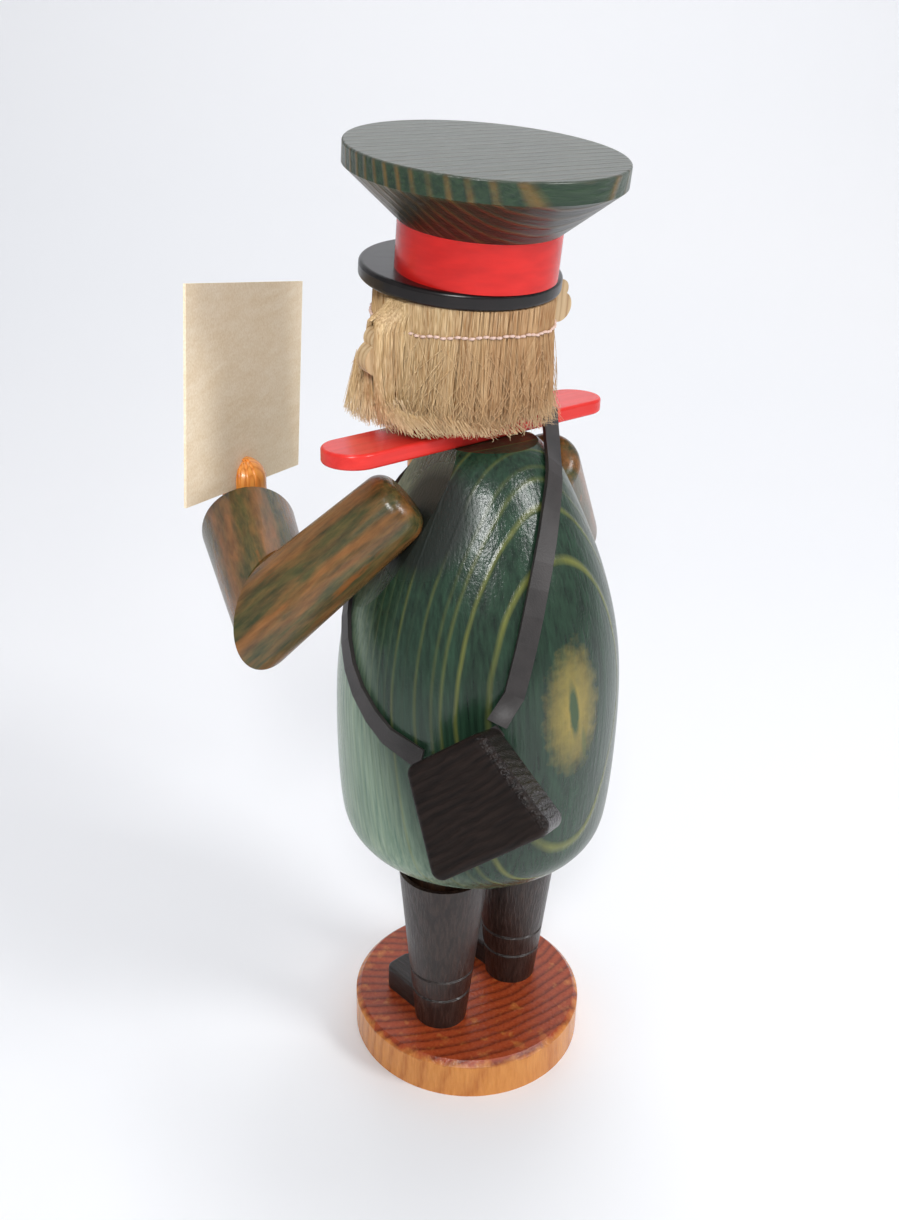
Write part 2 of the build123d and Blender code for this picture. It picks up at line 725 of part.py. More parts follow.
strands = [hair_strand(layer, column) for layer in range(hair_layers) for column in range(hair_columns)]
strands = [strand for strand in strands if strand is not None]
print(len(strands), "strands of hair")
ear_middle = ear_plane.offset(ear_thickness / 2)
ear_notch = ear_thickness / 2 + small_gap
ear_notch_height = ear_root_height + 2 * small_gap
ear_notch_width = hair_radius - head_radius + 2 * ear_in_head + 2 * small_gap
open_front = (polar(2 * hair_radius, hair_from), polar(2 * hair_radius, hair_to - 360))
with BuildPart() as hair:
    with BuildSketch(head_middle.offset(hair_band_bottom)):
        Circle(hair_radius)
        Circle(head_radius, mode=Mode.SUBTRACT)
        with BuildLine():
            Polyline((0, 0), *open_front, close=True)
        make_face(mode=Mode.SUBTRACT)
    extrude(amount=hair_band_height)
    add(strands, clean=False)
    with BuildSketch(ear_middle):
        with Locations((-hair_radius, ear_height), (hair_radius, ear_left_height)):
            Rectangle(ear_notch_width, ear_notch_height)
    extrude(amount=ear_notch, both=True, mode=Mode.SUBTRACT)

# Thread that sews the fibres together, along the outside of the band
thread_height = cap_height_on_axis - thread_below_cap
thread_start = head_plane.x_dir * cos(radians(hair_from)) + head_plane.y_dir * sin(radians(hair_from))
thread_middle = head_middle.from_local_coords((0, 0, thread_height))
thread_plane = Plane(origin=thread_middle, x_dir=thread_start, z_dir=thread_start.cross(head_plane.z_dir))
with BuildPart() as hair_thread:
    with BuildSketch(thread_plane):
        with Locations((hair_radius + thread_radius, 0)):
            Circle(thread_radius)
    revolve(axis=Axis(thread_middle, head_plane.z_dir), revolution_arc=hair_to - hair_from)
    with BuildSketch(ear_middle):
        with Locations((-hair_radius, ear_height), (hair_radius, ear_left_height)):
            Rectangle(ear_notch_width, ear_notch_height)
    extrude(amount=ear_notch, both=True, mode=Mode.SUBTRACT)

# Cap: a brim disc, a band disc and a turned crown, all on one dowel that ends in the head
band_plane = cap_plane.offset(brim_thickness)
crown_plane = band_plane.offset(band_height)
cap_axis = Axis(cap_plane.origin, cap_plane.z_dir)
with BuildPart() as cap_brim:
    with BuildSketch(beside(cap_plane, 0, -brim_forward, 0)):
        Circle(brim_radius)
    extrude(amount=brim_thickness)
    fillet(cap_brim.edges().filter_by(GeomType.CIRCLE), radius=brim_edge)
    with Locations(band_plane):
        Hole(radius=cap_dowel_radius, depth=brim_thickness)
with BuildPart() as cap_band:
    with BuildSketch(band_plane):
        Circle(band_radius)
        Circle(cap_dowel_radius, mode=Mode.SUBTRACT)
    extrude(amount=band_height)
with BuildPart() as cap_crown:
    with BuildSketch(Plane(origin=crown_plane.origin, x_dir=crown_plane.x_dir, z_dir=crown_plane.y_dir * -1)):
        with BuildLine():
            Polyline(
                (0, 0),
                (band_radius, 0),
                (crown_radius, crown_cone_height),
                (crown_radius, crown_cone_height + crown_rim_height),
                (0, crown_cone_height + crown_rim_height),
                close=True,
            )
        make_face()
    revolve(axis=cap_axis)
    fillet(cap_crown.edges().sort_by(cap_axis)[-1], radius=crown_edge)
    with Locations(Plane(origin=crown_plane.origin, z_dir=crown_plane.z_dir * -1)):
        Hole(radius=cap_dowel_radius, depth=cap_dowel_in_crown)
with BuildPart() as cap_dowel:
    with BuildSketch(cap_plane.offset(-cap_dowel_in_head)):
        Circle(cap_dowel_radius)
    extrude(amount=cap_dowel_in_head + brim_thickness + band_height + cap_dowel_in_crown)

# Shoulder bag: a tapered block whose upper back edge hangs close to the body


def on_body(turn, height, distance):
    """A point at a distance from the body's surface, and the direction square to it."""
    low, high = 0, 1
    while high - low > tiny_share:
        middle = (low + high) / 2
        low, high = (middle, high) if (body_curve @ middle).Z < body_bottom + height else (low, middle)
    edge, along = body_curve @ low, body_curve % low
    around = Vector(cos(radians(turn)), sin(radians(turn)), 0)
    square = (around * along.Z - Vector(0, 0, along.X)).normalized()
    return Vector(around.X * edge.X, around.Y * edge.X, edge.Z) + square * distance, square


hang_point, hang_way = on_body(bag_turn_on_body, bag_hang_height, bag_off_body)
face_turn, face_tilt, roll = radians(bag_face_turn), radians(bag_face_tilt), radians(bag_roll)
bag_way = Vector(cos(face_turn) * cos(face_tilt), sin(face_turn) * cos(face_tilt), sin(face_tilt))
level = Vector(-sin(face_turn), cos(face_turn), 0)
bag_along = level * cos(roll) + bag_way.cross(level) * sin(roll)
bag_back = Plane(origin=hang_point, x_dir=bag_along, z_dir=bag_way)
bag_outline = [
    (-bag_top_width / 2, 0),
    (bag_top_width / 2, 0),
    (bag_bottom_width / 2, -bag_height),
    (-bag_bottom_width / 2, -bag_height),
]
tab_side, tab_down = sin(radians(tab_turn)), cos(radians(tab_turn))
pin_x = corner_x - pin_from_corner * tab_side
pin_y = -pin_from_corner * tab_down
with BuildPart() as satchel:
    with BuildSketch(bag_back):
        with BuildLine():
            Polyline(*bag_outline, close=True)
        make_face()
    extrude(amount=bag_thickness)
    fillet(satchel.edges().filter_by(Axis(hang_point, bag_way)), radius=bag_corner)
    fillet(satchel.faces().sort_by(Axis(hang_point, bag_way))[-1].edges(), radius=bag_edge)
    with BuildSketch(bag_back):
        with Locations((-pin_x, pin_y), (pin_x, pin_y)):
            Circle(pin_radius)
    extrude(amount=pin_length, mode=Mode.SUBTRACT)

# Ends of the strap behind the bag's corners, each held by a pin
with BuildPart() as strap_tabs:
    with BuildSketch(bag_back):
        with Locations(Location((corner_x, 0), -tab_turn)):
            Rectangle(strap_width, 2 * tab_length)
        with Locations(Location((-corner_x, 0), tab_turn)):
            Rectangle(strap_width, 2 * tab_length)
        with BuildLine():
            Polyline(*bag_outline, close=True)
        make_face(mode=Mode.INTERSECT)
        with Locations((-pin_x, pin_y), (pin_x, pin_y)):
            Circle(pin_radius, mode=Mode.SUBTRACT)
    extrude(amount=-strap_thickness)
with BuildPart() as strap_pins:
    with BuildSketch(bag_back.offset(pin_length)):
        with Locations((-pin_x, pin_y), (pin_x, pin_y)):
            Circle(pin_radius)
    extrude(amount=-pin_length - strap_thickness)
    with BuildSketch(bag_back.offset(-strap_thickness)):
        with Locations((-pin_x, pin_y), (pin_x, pin_y)):
            Circle(pin_head_radius)
    extrude(amount=-pin_head_height)

# Strap: one band of constant width through points on the body, the collar's edges and the bag
strap_middle = strap_thickness / 2
strap_lift = strap_off_body + strap_middle
over_back, over_front = Vector(0, 1, 1).normalized(), Vector(0, -1, 1).normalized()
top_back = Vector(-strap_over_collar, collar_back, collar_top)
top_front = Vector(-strap_over_collar, collar_front, collar_top)


def at_bag(side):
    """End of the strap, just outside a corner of the bag's back."""
    x, y = side * (corner_x + small_gap * tab_side), small_gap * tab_down
    way = bag_back.x_dir * -side * tab_side - bag_back.y_dir * tab_down
    return bag_back.from_local_coords((x, y, -strap_middle)), bag_way, way * -side


def on_body_places(shares):
    """Places of the strap on the body; its way there follows from its neighbours."""
    return [on_body(turn, share * body_height, strap_lift) + (None,) for turn, share in shares]


strap_places = [at_bag(1)]
strap_places += on_body_places(strap_back_shares)
strap_places.append((top_back + over_back * strap_lift, over_back, over_front))
strap_places.append((top_front + over_front * strap_lift, over_front, over_back * -1))
strap_places += on_body_places(strap_chest_shares)
strap_places.append(at_bag(-1))
strap_planes = []
for i, (point, square, way) in enumerate(strap_places):
    if way is None:
        before, after = strap_places[i - 1][0], strap_places[i + 1][0]
        way = (point - before).normalized() + (after - point).normalized()
    strap_planes.append(Plane(origin=point, x_dir=way.cross(square), z_dir=way))
with BuildPart() as strap:
    for first, second in zip(strap_planes, strap_planes[1:]):
        with BuildSketch(first, second):
            Rectangle(strap_width, strap_thickness)
        loft(ruled=True)

pieces = {
    "base_disc": base_disc,
    "boot_left": boot_left,
    "boot_right": boot_right,
    "ankle_dowels": ankle_dowels,
    "shoe_left": shoe_left,
    "shoe_right": shoe_right,
    "leg_left": leg_left,
    "leg_right": leg_right,
    "floor_plug": floor_plug,
    "cone_tray": cone_tray,
    "tray_nail": tray_nail,
    "body_shell": body_shell,
    "collar": collar,
    "neck_tube": neck_tube,
    "upper_arm_left": upper_arm_left,
    "upper_arm_right": upper_arm_right,
    "forearm_left": forearm_left,
    "forearm_right": forearm_right,
    "shoulder_dowels": shoulder_dowels,
    "elbow_dowels": elbow_dowels,
    "hand_left": hand_left,
    "hand_right": hand_right,
    "letter": letter,
    "head": head,
    "nose": nose,
    "ear_left": ear_left,
    "ear_right": ear_right,
    "hair": hair,
    "hair_thread": hair_thread,
    "cap_brim": cap_brim,
    "cap_band": cap_band,
    "cap_crown": cap_crown,
    "cap_dowel": cap_dowel,
    "strap": strap,
    "satchel": satchel,
    "strap_tabs": strap_tabs,
    "strap_pins": strap_pins,
}
for label, piece in pieces.items():
    piece.part.label = label
    export_step(piece.part, f"parts/{label}.step")
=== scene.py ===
import math
import random

import bpy
from mathutils import Matrix, Vector


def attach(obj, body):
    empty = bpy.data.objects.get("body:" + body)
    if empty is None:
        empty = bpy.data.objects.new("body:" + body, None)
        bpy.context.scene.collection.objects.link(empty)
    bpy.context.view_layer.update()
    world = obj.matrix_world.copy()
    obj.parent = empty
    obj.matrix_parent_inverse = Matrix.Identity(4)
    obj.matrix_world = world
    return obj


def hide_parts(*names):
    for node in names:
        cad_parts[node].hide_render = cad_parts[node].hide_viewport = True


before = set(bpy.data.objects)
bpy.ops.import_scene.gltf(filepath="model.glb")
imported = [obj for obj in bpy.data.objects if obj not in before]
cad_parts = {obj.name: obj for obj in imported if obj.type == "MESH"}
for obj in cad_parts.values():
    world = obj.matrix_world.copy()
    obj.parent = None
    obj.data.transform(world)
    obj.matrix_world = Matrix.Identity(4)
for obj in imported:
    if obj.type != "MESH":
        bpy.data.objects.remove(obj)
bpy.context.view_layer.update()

# Studio: one sweep of matt white paper that rises behind the figure. A lamp above the camera makes
# the small glints, one on the right lights the letter, and the air of the room fills in softly.


def linear(hex_colour):
    """An sRGB colour, written as six hex digits, in the linear values that shaders take."""
    values = [int(hex_colour[i:i + 2], 16) / 255 for i in (0, 2, 4)]
    return tuple(v / 12.92 if v <= 0.04045 else ((v + 0.055) / 1.055) ** 2.4 for v in values) + (1.0,)


def add_node(material, kind, sockets=None, stops=None, **settings):
    """One shader node. A socket takes a value, a hex colour, or a node or an output to link to it."""
    tree = material.node_tree
    new = tree.nodes.new("ShaderNode" + kind)
    for name, value in settings.items():
        setattr(new, name, value)
    if stops:
        elements = new.color_ramp.elements
        elements.remove(elements[1])
        for i, (position, shade) in enumerate(stops):
            element = elements[0] if i == 0 else elements.new(position)
            element.position = position
            element.color = linear(shade) if isinstance(shade, str) else (shade, shade, shade, 1)
    for name, value in (sockets or {}).items():
        if isinstance(value, bpy.types.Node):
            value = next(output for output in value.outputs if output.enabled)
        if isinstance(value, bpy.types.NodeSocket):
            tree.links.new(value, new.inputs[name])
        else:
            new.inputs[name].default_value = linear(value) if isinstance(value, str) else value
    return new


def new_finish(name):
    """An empty material, ready for its nodes."""
    material = bpy.data.materials.new(name)
    material.use_nodes = True
    material.node_tree.nodes.clear()
    return material


def close_finish(material, sockets):
    """Ends a material in the standard shader."""
    shader = add_node(material, "BsdfPrincipled", sockets)
    add_node(material, "OutputMaterial", {"Surface": shader})
    return material


def new_piece(name, points, faces, material, smooth=True):
    """An object of one mesh with one finish."""
    mesh = bpy.data.meshes.new(name)
    mesh.from_pydata([tuple(p) for p in points], [], faces)
    if smooth:
        mesh.shade_smooth()
    mesh.materials.append(material)
    piece = bpy.data.objects.new(name, mesh)
    bpy.context.collection.objects.link(piece)
    return piece


# Matt paper: no gloss, and a cloudiness that is barely there
paper = new_finish("matt_white_paper")
cloud = add_node(paper, "TexNoise", {"Scale": 6.0, "Detail": 2.0})
tint = add_node(paper, "ValToRGB", {0: cloud}, stops=[(0.3, "f1f2f5"), (0.7, "f4f4f6")])
close_finish(paper, {"Base Color": tint, "Roughness": 0.95, "Specular IOR Level": 0.0})
bend_start, bend_radius, wall_top, sweep_side = -0.35, 0.6, 2.2, 2.4
floor_rows = [(y, 0.0) for y in (1.1, 0.4, bend_start)]
for bend in range(10, 91, 10):
    along, up = math.sin(math.radians(bend)), 1 - math.cos(math.radians(bend))
    floor_rows.append((bend_start - bend_radius * along, bend_radius * up))
floor_rows += [(bend_start - bend_radius, wall_top)]
away = Matrix.Rotation(math.radians(-45), 3, "Z")
sweep_points = [away @ Vector((x, y, z)) for y, z in floor_rows for x in (-sweep_side, sweep_side)]
sweep_faces = [(2 * i, 2 * i + 1, 2 * i + 3, 2 * i + 2) for i in range(len(floor_rows) - 1)]
new_piece("paper_sweep", sweep_points, sweep_faces, paper)

room = bpy.data.worlds.new("room_air")
room.use_nodes = True
room.node_tree.nodes["Background"].inputs["Color"].default_value = linear("eceef2")
room.node_tree.nodes["Background"].inputs["Strength"].default_value = 0.45
bpy.context.scene.world = room
bpy.context.scene.view_settings.view_transform = "Standard"
figure_middle, wall_middle = Vector((0, 0, 0.11)), Vector((-0.8, -0.8, 0.3))
for lamp_name, place, size, watts in (
    ("lamp_over_camera", (0.37, 0.36, 0.50), 0.12, 1.65),
    ("lamp_on_the_right", (-0.274, 0.713, 0.620), 0.24, 3.3),
    ("ceiling", (0.0, 0.0, 1.2), 0.9, 0.7),
    ("wall_wash", (-0.3, -0.3, 1.5), 0.5, 7.2),
):
    lamp = bpy.data.lights.new(lamp_name, "AREA")
    lamp.size, lamp.energy = size, watts
    lamp_object = bpy.data.objects.new(lamp_name, lamp)
    bpy.context.collection.objects.link(lamp_object)
    lamp_object.location = place
    aim = wall_middle if lamp_name == "wall_wash" else figure_middle
    lamp_object.rotation_euler = (aim - Vector(place)).to_track_quat("-Z", "Y").to_euler()

# A narrow, soft-edged lamp beside the camera lifts the letter out of the shadow of the head
spot = bpy.data.lights.new("spot_on_the_letter", "SPOT")
spot.energy, spot.spot_size, spot.spot_blend, spot.shadow_soft_size = 1.15, math.radians(21), 1.0, 0.02
spot_object = bpy.data.objects.new("spot_on_the_letter", spot)
bpy.context.collection.objects.link(spot_object)
spot_object.location = (0.20, 0.17, 0.30)
letter_middle = sum((Vector(corner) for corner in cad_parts["letter"].bound_box), Vector()) / 8
spot_object.rotation_euler = (letter_middle - spot_object.location).to_track_quat("-Z", "Y").to_euler()

# Camera: the photo's angle, from behind and above on the figure's left, with a slight roll
camera_data = bpy.data.cameras.new("camera")
camera_data.sensor_width = 36.0
camera_data.lens = 35.41
camera_data.clip_start = 0.01
camera = bpy.data.objects.new("camera", camera_data)
bpy.context.collection.objects.link(camera)
heading, pitch, roll = math.radians(223.33149), math.radians(24.33845), math.radians(1.37036)
ahead = Vector((math.sin(heading) * math.cos(pitch), math.cos(heading) * math.cos(pitch), -math.sin(pitch)))
level = ahead.cross(Vector((0, 0, 1))).normalized()
upright = level.cross(ahead)
rightward = level * math.cos(roll) + upright * math.sin(roll)
upward = upright * math.cos(roll) - level * math.sin(roll)
turn = Matrix((rightward, upward, -ahead)).transposed().to_4x4()
camera_place = (0.180990, 0.181410, 0.237320)
camera.matrix_world = Matrix.Translation(camera_place) @ turn
bpy.context.scene.camera = camera

# Base: a disc turned from pine with its grain upright. The top is stained red-brown over the rings
# and varnished; the stain bleeds a little over the edge, and the side stays yellow.


def dress(material, *names):
    """Gives a finish to pieces of the CAD model."""
    for name in names:
        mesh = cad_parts[name].data
        mesh.materials.clear()
        mesh.materials.append(material)


def wood_places(material, grain, stretch):
    """Object coordinates in metres, and the same drawn out along the grain for fibres."""
    place = add_node(material, "TexCoord").outputs["Object"]
    grain = Vector(grain).normalized()
    along = add_node(material, "VectorMath", {0: place, 1: tuple(grain)}, operation="DOT_PRODUCT")
    squeeze = tuple(grain * (1 / stretch - 1))
    shift = add_node(material, "VectorMath", {0: squeeze, "Scale": along}, operation="SCALE")
    return place, add_node(material, "VectorMath", {0: place, 1: shift}, operation="ADD")


def ring_depth(material, place, pith, grain, wobble, wobble_size):
    """Distance from the pith of the tree, a line off the piece, with the waviness of real rings."""
    noise = add_node(material, "TexNoise", {"Vector": place, "Scale": 1 / wobble_size, "Detail": 2.0})
    wander = add_node(material, "VectorMath", {0: noise.outputs["Color"], 1: (0.5, 0.5, 0.5)},
                      operation="SUBTRACT")
    wavy = add_node(material, "VectorMath", {0: wander, 1: (2 * wobble,) * 3, 2: place},
                    operation="MULTIPLY_ADD")
    from_pith = add_node(material, "VectorMath", {0: wavy, 1: tuple(pith)}, operation="SUBTRACT")
    square = add_node(material, "VectorMath", {0: from_pith, 1: tuple(Vector(grain).normalized())},
                      operation="CROSS_PRODUCT")
    return add_node(material, "VectorMath", {0: square}, operation="LENGTH")


def yearly(material, depth, spacing, stops):
    """A shade from ring to ring: the stops run across one year."""
    years = add_node(material, "Math", {0: depth, 1: spacing}, operation="DIVIDE")
    year = add_node(material, "Math", {0: years}, operation="FRACT")
    return add_node(material, "ValToRGB", {0: year}, stops=stops)


def fine_fibres(material, fibres, width, stops):
    """Fibres of a width in metres, as a shade."""
    noise = add_node(material, "TexNoise", {"Vector": fibres, "Scale": 0.7 / width, "Detail": 4.0,
                                            "Roughness": 0.6})
    return add_node(material, "ValToRGB", {0: noise}, stops=stops)


base_height = 0.0108
pine = new_finish("pine_stained_red_brown_on_top")
place, fibres = wood_places(pine, (0.08, 0.03, 1), 8)
depth = ring_depth(pine, place, (-0.016, -0.050, 0), (0.10, 0.04, 1), 0.0012, 0.012)
pine_year = 0.0027
late_wood = yearly(pine, depth, pine_year,
                   [(0.0, 0.35), (0.2, 0.05), (0.5, 0.1), (0.74, 0.75), (0.88, 1.0), (1.0, 0.35)])
# Cut across, the fibres show as specks; down the side as upright streaks
fibre = fine_fibres(pine, fibres, 0.0005, [(0.3, 0.0), (0.7, 1.0)])
stained = add_node(pine, "Mix", {0: late_wood, 6: "a94420", 7: "5a1a0a"}, data_type="RGBA")
speckled = add_node(pine, "Mix", {0: fibre, 6: "742510", 7: "ba5f34"}, data_type="RGBA")
stained = add_node(pine, "Mix", {0: 0.3, 6: stained, 7: speckled}, data_type="RGBA")
plain = add_node(pine, "Mix", {0: late_wood, 6: "d88f45", 7: "b96c2d"}, data_type="RGBA")
streaked = add_node(pine, "Mix", {0: fibre, 6: "b86a2a", 7: "e29f55"}, data_type="RGBA")
plain = add_node(pine, "Mix", {0: 0.4, 6: plain, 7: streaked}, data_type="RGBA")
height = add_node(pine, "SeparateXYZ", {0: place}).outputs[2]
bleed_reach = 0.0035
bleed = add_node(pine, "TexNoise", {"Vector": fibres, "Scale": 300.0, "Detail": 3.0})
uneven = add_node(pine, "Math", {0: bleed, 1: bleed_reach, 2: height}, operation="MULTIPLY_ADD")
share = add_node(pine, "Math", {0: uneven, 1: 2 * base_height}, operation="DIVIDE")
on_top = add_node(pine, "ValToRGB", {0: share}, stops=[(0.51, 0.0), (0.57, 1.0)])
colour = add_node(pine, "Mix", {0: on_top, 6: plain, 7: stained}, data_type="RGBA")
relief = add_node(pine, "Bump", {"Height": fibre, "Distance": 0.00012, "Strength": 0.5})
relief = add_node(pine, "Bump", {"Height": late_wood, "Distance": 0.00015, "Strength": 0.4, "Normal": relief})
close_finish(pine, {"Base Color": colour, "Roughness": 0.25, "IOR": 1.5, "Specular IOR Level": 0.4,
                    "Normal": relief})
dress(pine, "base_disc")

# Boots and shoes: beech, turned and sawn, stained a brown that is almost black and varnished half
# matt. The short pores stay lighter and run up the boots and along the shoes.


def dark_beech(name, grain, dark, pale, roughness):
    """Beech under a dark stain: close rings, short pale pores, a thin varnish."""
    finish = new_finish(name)
    place, fibres = wood_places(finish, grain, 7)
    depth = ring_depth(finish, place, (0.07, 0.05, 0), grain, 0.0012, 0.02)
    ring = yearly(finish, depth, 0.0017, [(0.0, 0.2), (0.6, 0.45), (0.95, 0.9), (1.0, 0.2)])
    pore = fine_fibres(finish, fibres, 0.00045, [(0.45, 0.0), (0.66, 1.0)])
    mixed = add_node(finish, "Mix", {0: ring, 6: dark, 7: pale}, data_type="RGBA")
    pored = add_node(finish, "Mix", {0: pore, 6: dark, 7: pale}, data_type="RGBA")
    mixed = add_node(finish, "Mix", {0: 0.6, 6: mixed, 7: pored}, data_type="RGBA")
    relief = add_node(finish, "Bump", {"Height": pore, "Distance": 0.00012, "Strength": 0.6})
    return close_finish(finish, {"Base Color": mixed, "Roughness": roughness, "IOR": 1.5, "Normal": relief})


dress(dark_beech("boot_beech_dark_stain", (0, 0, 1), "19110e", "3e2f29", 0.30), "boot_left", "boot_right")
dress(dark_beech("shoe_beech_dark_stain", (0, 1, 0), "191311", "362a25", 0.42), "shoe_left", "shoe_right")

# Legs, plug and hidden dowels: beech rod and board, glued into bored holes. The legs are stained a
# matt brown; the plug, the neck and the dowels stay raw and pale, with the fine flecks of beech.
dress(dark_beech("leg_beech_brown_stain", (0, 0, 1), "22150e", "4d321f", 0.45), "leg_left", "leg_right")
dress(dark_beech("raw_beech", (0, 0, 1), "b58558", "dcb88a", 0.6),
      "floor_plug", "ankle_dowels", "neck_tube", "shoulder_dowels", "elbow_dowels", "cap_dowel")

# Tray and nails: the tray for the cone is pressed from brass sheet and nailed to the plug. Smoke has
# browned it in patches; the wire nails are drawn steel with a cold, scratched shine.
brass = new_finish("pressed_brass_browned_by_smoke")
smoke = add_node(brass, "TexNoise", {"Scale": 300.0, "Detail": 5.0})
smoked = add_node(brass, "ValToRGB", {0: smoke}, stops=[(0.35, "6d5427"), (0.65, "b99a55")])
close_finish(brass, {"Base Color": smoked, "Metallic": 1.0, "Roughness": 0.38})
dress(brass, "cone_tray")
steel = new_finish("drawn_steel_wire")
scratch = add_node(steel, "TexNoise", {"Scale": 900.0, "Detail": 2.0})
worn = add_node(steel, "ValToRGB", {0: scratch}, stops=[(0.3, "76736e"), (0.7, "94918c")])
close_finish(steel, {"Base Color": worn, "Metallic": 1.0, "Roughness": 0.35})
dress(steel, "tray_nail", "strap_pins")

# Body: turned from one block of softwood, stained dark green and varnished to a gloss. The late wood
# of each year takes less stain and stays as a yellow line; at the back a knot shows as a yellow eye.
body_green = new_finish("softwood_dark_green_stain_gloss")
knot_turn = math.radians(85)
outward = Vector((math.cos(knot_turn), math.sin(knot_turn), 0))
across = Vector((-outward.y, outward.x, 0))
belly_radius, pith_distance, depth_scale = 0.0338, 0.120, 0.050
# The rings lean, so that the pith comes closer to the back further down
body_grain = Vector((0, 0, 1)) - outward * 0.125
place, fibres = wood_places(body_green, body_grain, 24)
pith_foot = Vector((0, 0, 0.142)) - outward * pith_distance
from_pith = ring_depth(body_green, place, pith_foot, body_grain, 0.0006, 0.028)
depth = add_node(body_green, "Math", {0: pith_distance + belly_radius, 1: from_pith}, operation="SUBTRACT")
depth_share = add_node(body_green, "Math", {0: depth, 1: depth_scale}, operation="DIVIDE")
line_stops = [(0.0, 0.0)]
for line_depth, strength in ((10.3, 0.9), (14.0, 0.75), (16.2, 0.4), (17.7, 0.25), (20.6, 0.35), (25.4, 0.4)):
    line_share = line_depth / 1000 / depth_scale
    line_stops += [(line_share - 0.007, 0.0), (line_share, strength), (line_share + 0.009, 0.0)]
lines = add_node(body_green, "ValToRGB", {0: depth_share}, stops=line_stops)
patchy = fine_fibres(body_green, fibres, 0.004, [(0.32, 0.45), (0.6, 1.0)])
lines = add_node(body_green, "Math", {0: lines, 1: patchy}, operation="MULTIPLY")
flank = yearly(body_green, depth, 0.0021, [(0.0, 0.5), (0.3, 0.0), (0.8, 0.0), (0.95, 1.0), (1.0, 0.5)])
on_flank = add_node(body_green, "ValToRGB", {0: depth_share}, stops=[(0.42, 0.0), (0.64, 0.2)])
flank = add_node(body_green, "Math", {0: flank, 1: on_flank}, operation="MULTIPLY")
streak = fine_fibres(body_green, fibres, 0.0007, [(0.3, 0.0), (0.72, 1.0)])
broad = fine_fibres(body_green, fibres, 0.006, [(0.36, 0.0), (0.66, 1.0)])
green = add_node(body_green, "Mix", {0: broad, 6: "13231a", 7: "203a2b"}, data_type="RGBA")
streaked = add_node(body_green, "Mix", {0: streak, 6: "0d1912", 7: "3a5a43"}, data_type="RGBA")
green = add_node(body_green, "Mix", {0: 0.42, 6: green, 7: streaked}, data_type="RGBA")
# A paler green for the painted reflection of the white room on the low flanks
flank_reflection_green = add_node(body_green, "Mix", {0: streak, 6: "587763", 7: "92a68d"}, data_type="RGBA")
# The low flanks are painted paler, a painted reflection of the white room at grazing angles: most of all low
# down, and a little less again at the front
flank_height = add_node(body_green, "SeparateXYZ", {0: place}).outputs[2]
fade_per_metre = -5.0
reflection_slope = add_node(body_green, "Math", {0: flank_height, 1: fade_per_metre, 2: depth_share},
                       operation="MULTIPLY_ADD")
low_flank_reflection = add_node(body_green, "ValToRGB", {0: reflection_slope},
                     stops=[(0.0, 0.0), (0.22, 1.0), (0.7, 1.0), (0.95, 0.35)])
green = add_node(body_green, "Mix", {0: low_flank_reflection, 6: green, 7: flank_reflection_green}, data_type="RGBA")
green = add_node(body_green, "Mix", {0: flank, 6: green, 7: "7f8f5e"}, data_type="RGBA")
colour = add_node(body_green, "Mix", {0: lines, 6: green, 7: "7c7e3c"}, data_type="RGBA")
# The knot: a soft yellow eye where the stain didn't take, with a dark green split, drawn as ovals
knot_depth = 0.012
knot = outward * belly_radius + Vector((0, 0, 0.1098))
to_knot = add_node(body_green, "VectorMath", {0: place, 1: tuple(knot)}, operation="SUBTRACT")
beside = add_node(body_green, "VectorMath", {0: to_knot, 1: tuple(across * 0.0034 - Vector((0, 0, 0.009)))},
                  operation="SUBTRACT")
knot_noise = add_node(body_green, "TexNoise", {"Vector": place, "Scale": 420.0, "Detail": 5.0,
                                               "Roughness": 0.6})
for from_middle, half_width, half_height, slant, stops, shade in (
    (to_knot, 0.0088, 0.0172, 0.00, [(0.22, 0.9), (0.58, 0.55), (0.98, 0.0)], "96843f"),
    (to_knot, 0.0017, 0.0080, 0.10, [(0.55, 0.95), (0.98, 0.0)], "2f4a2e"),
    (beside, 0.0009, 0.0050, 0.12, [(0.5, 0.6), (0.98, 0.0)], "4c5c34"),
):
    tilted = (across + Vector((0, 0, slant))) / half_width
    sideways = add_node(body_green, "VectorMath", {0: from_middle, 1: tuple(tilted)}, operation="DOT_PRODUCT")
    raised = add_node(body_green, "VectorMath", {0: from_middle, 1: (0, 0, 1 / half_height)},
                      operation="DOT_PRODUCT")
    inward = add_node(body_green, "VectorMath", {0: from_middle, 1: tuple(outward / knot_depth)},
                      operation="DOT_PRODUCT")
    oval = add_node(body_green, "CombineXYZ", {0: sideways, 1: raised, 2: inward})
    reach = add_node(body_green, "VectorMath", {0: oval}, operation="LENGTH")
    rough_reach = add_node(body_green, "Math", {0: knot_noise, 1: 0.6, 2: reach}, operation="MULTIPLY_ADD")
    inside = add_node(body_green, "Math", {0: rough_reach, 1: 0.3}, operation="SUBTRACT")
    mask = add_node(body_green, "ValToRGB", {0: inside}, stops=stops)
    colour = add_node(body_green, "Mix", {0: mask, 6: colour, 7: shade}, data_type="RGBA")
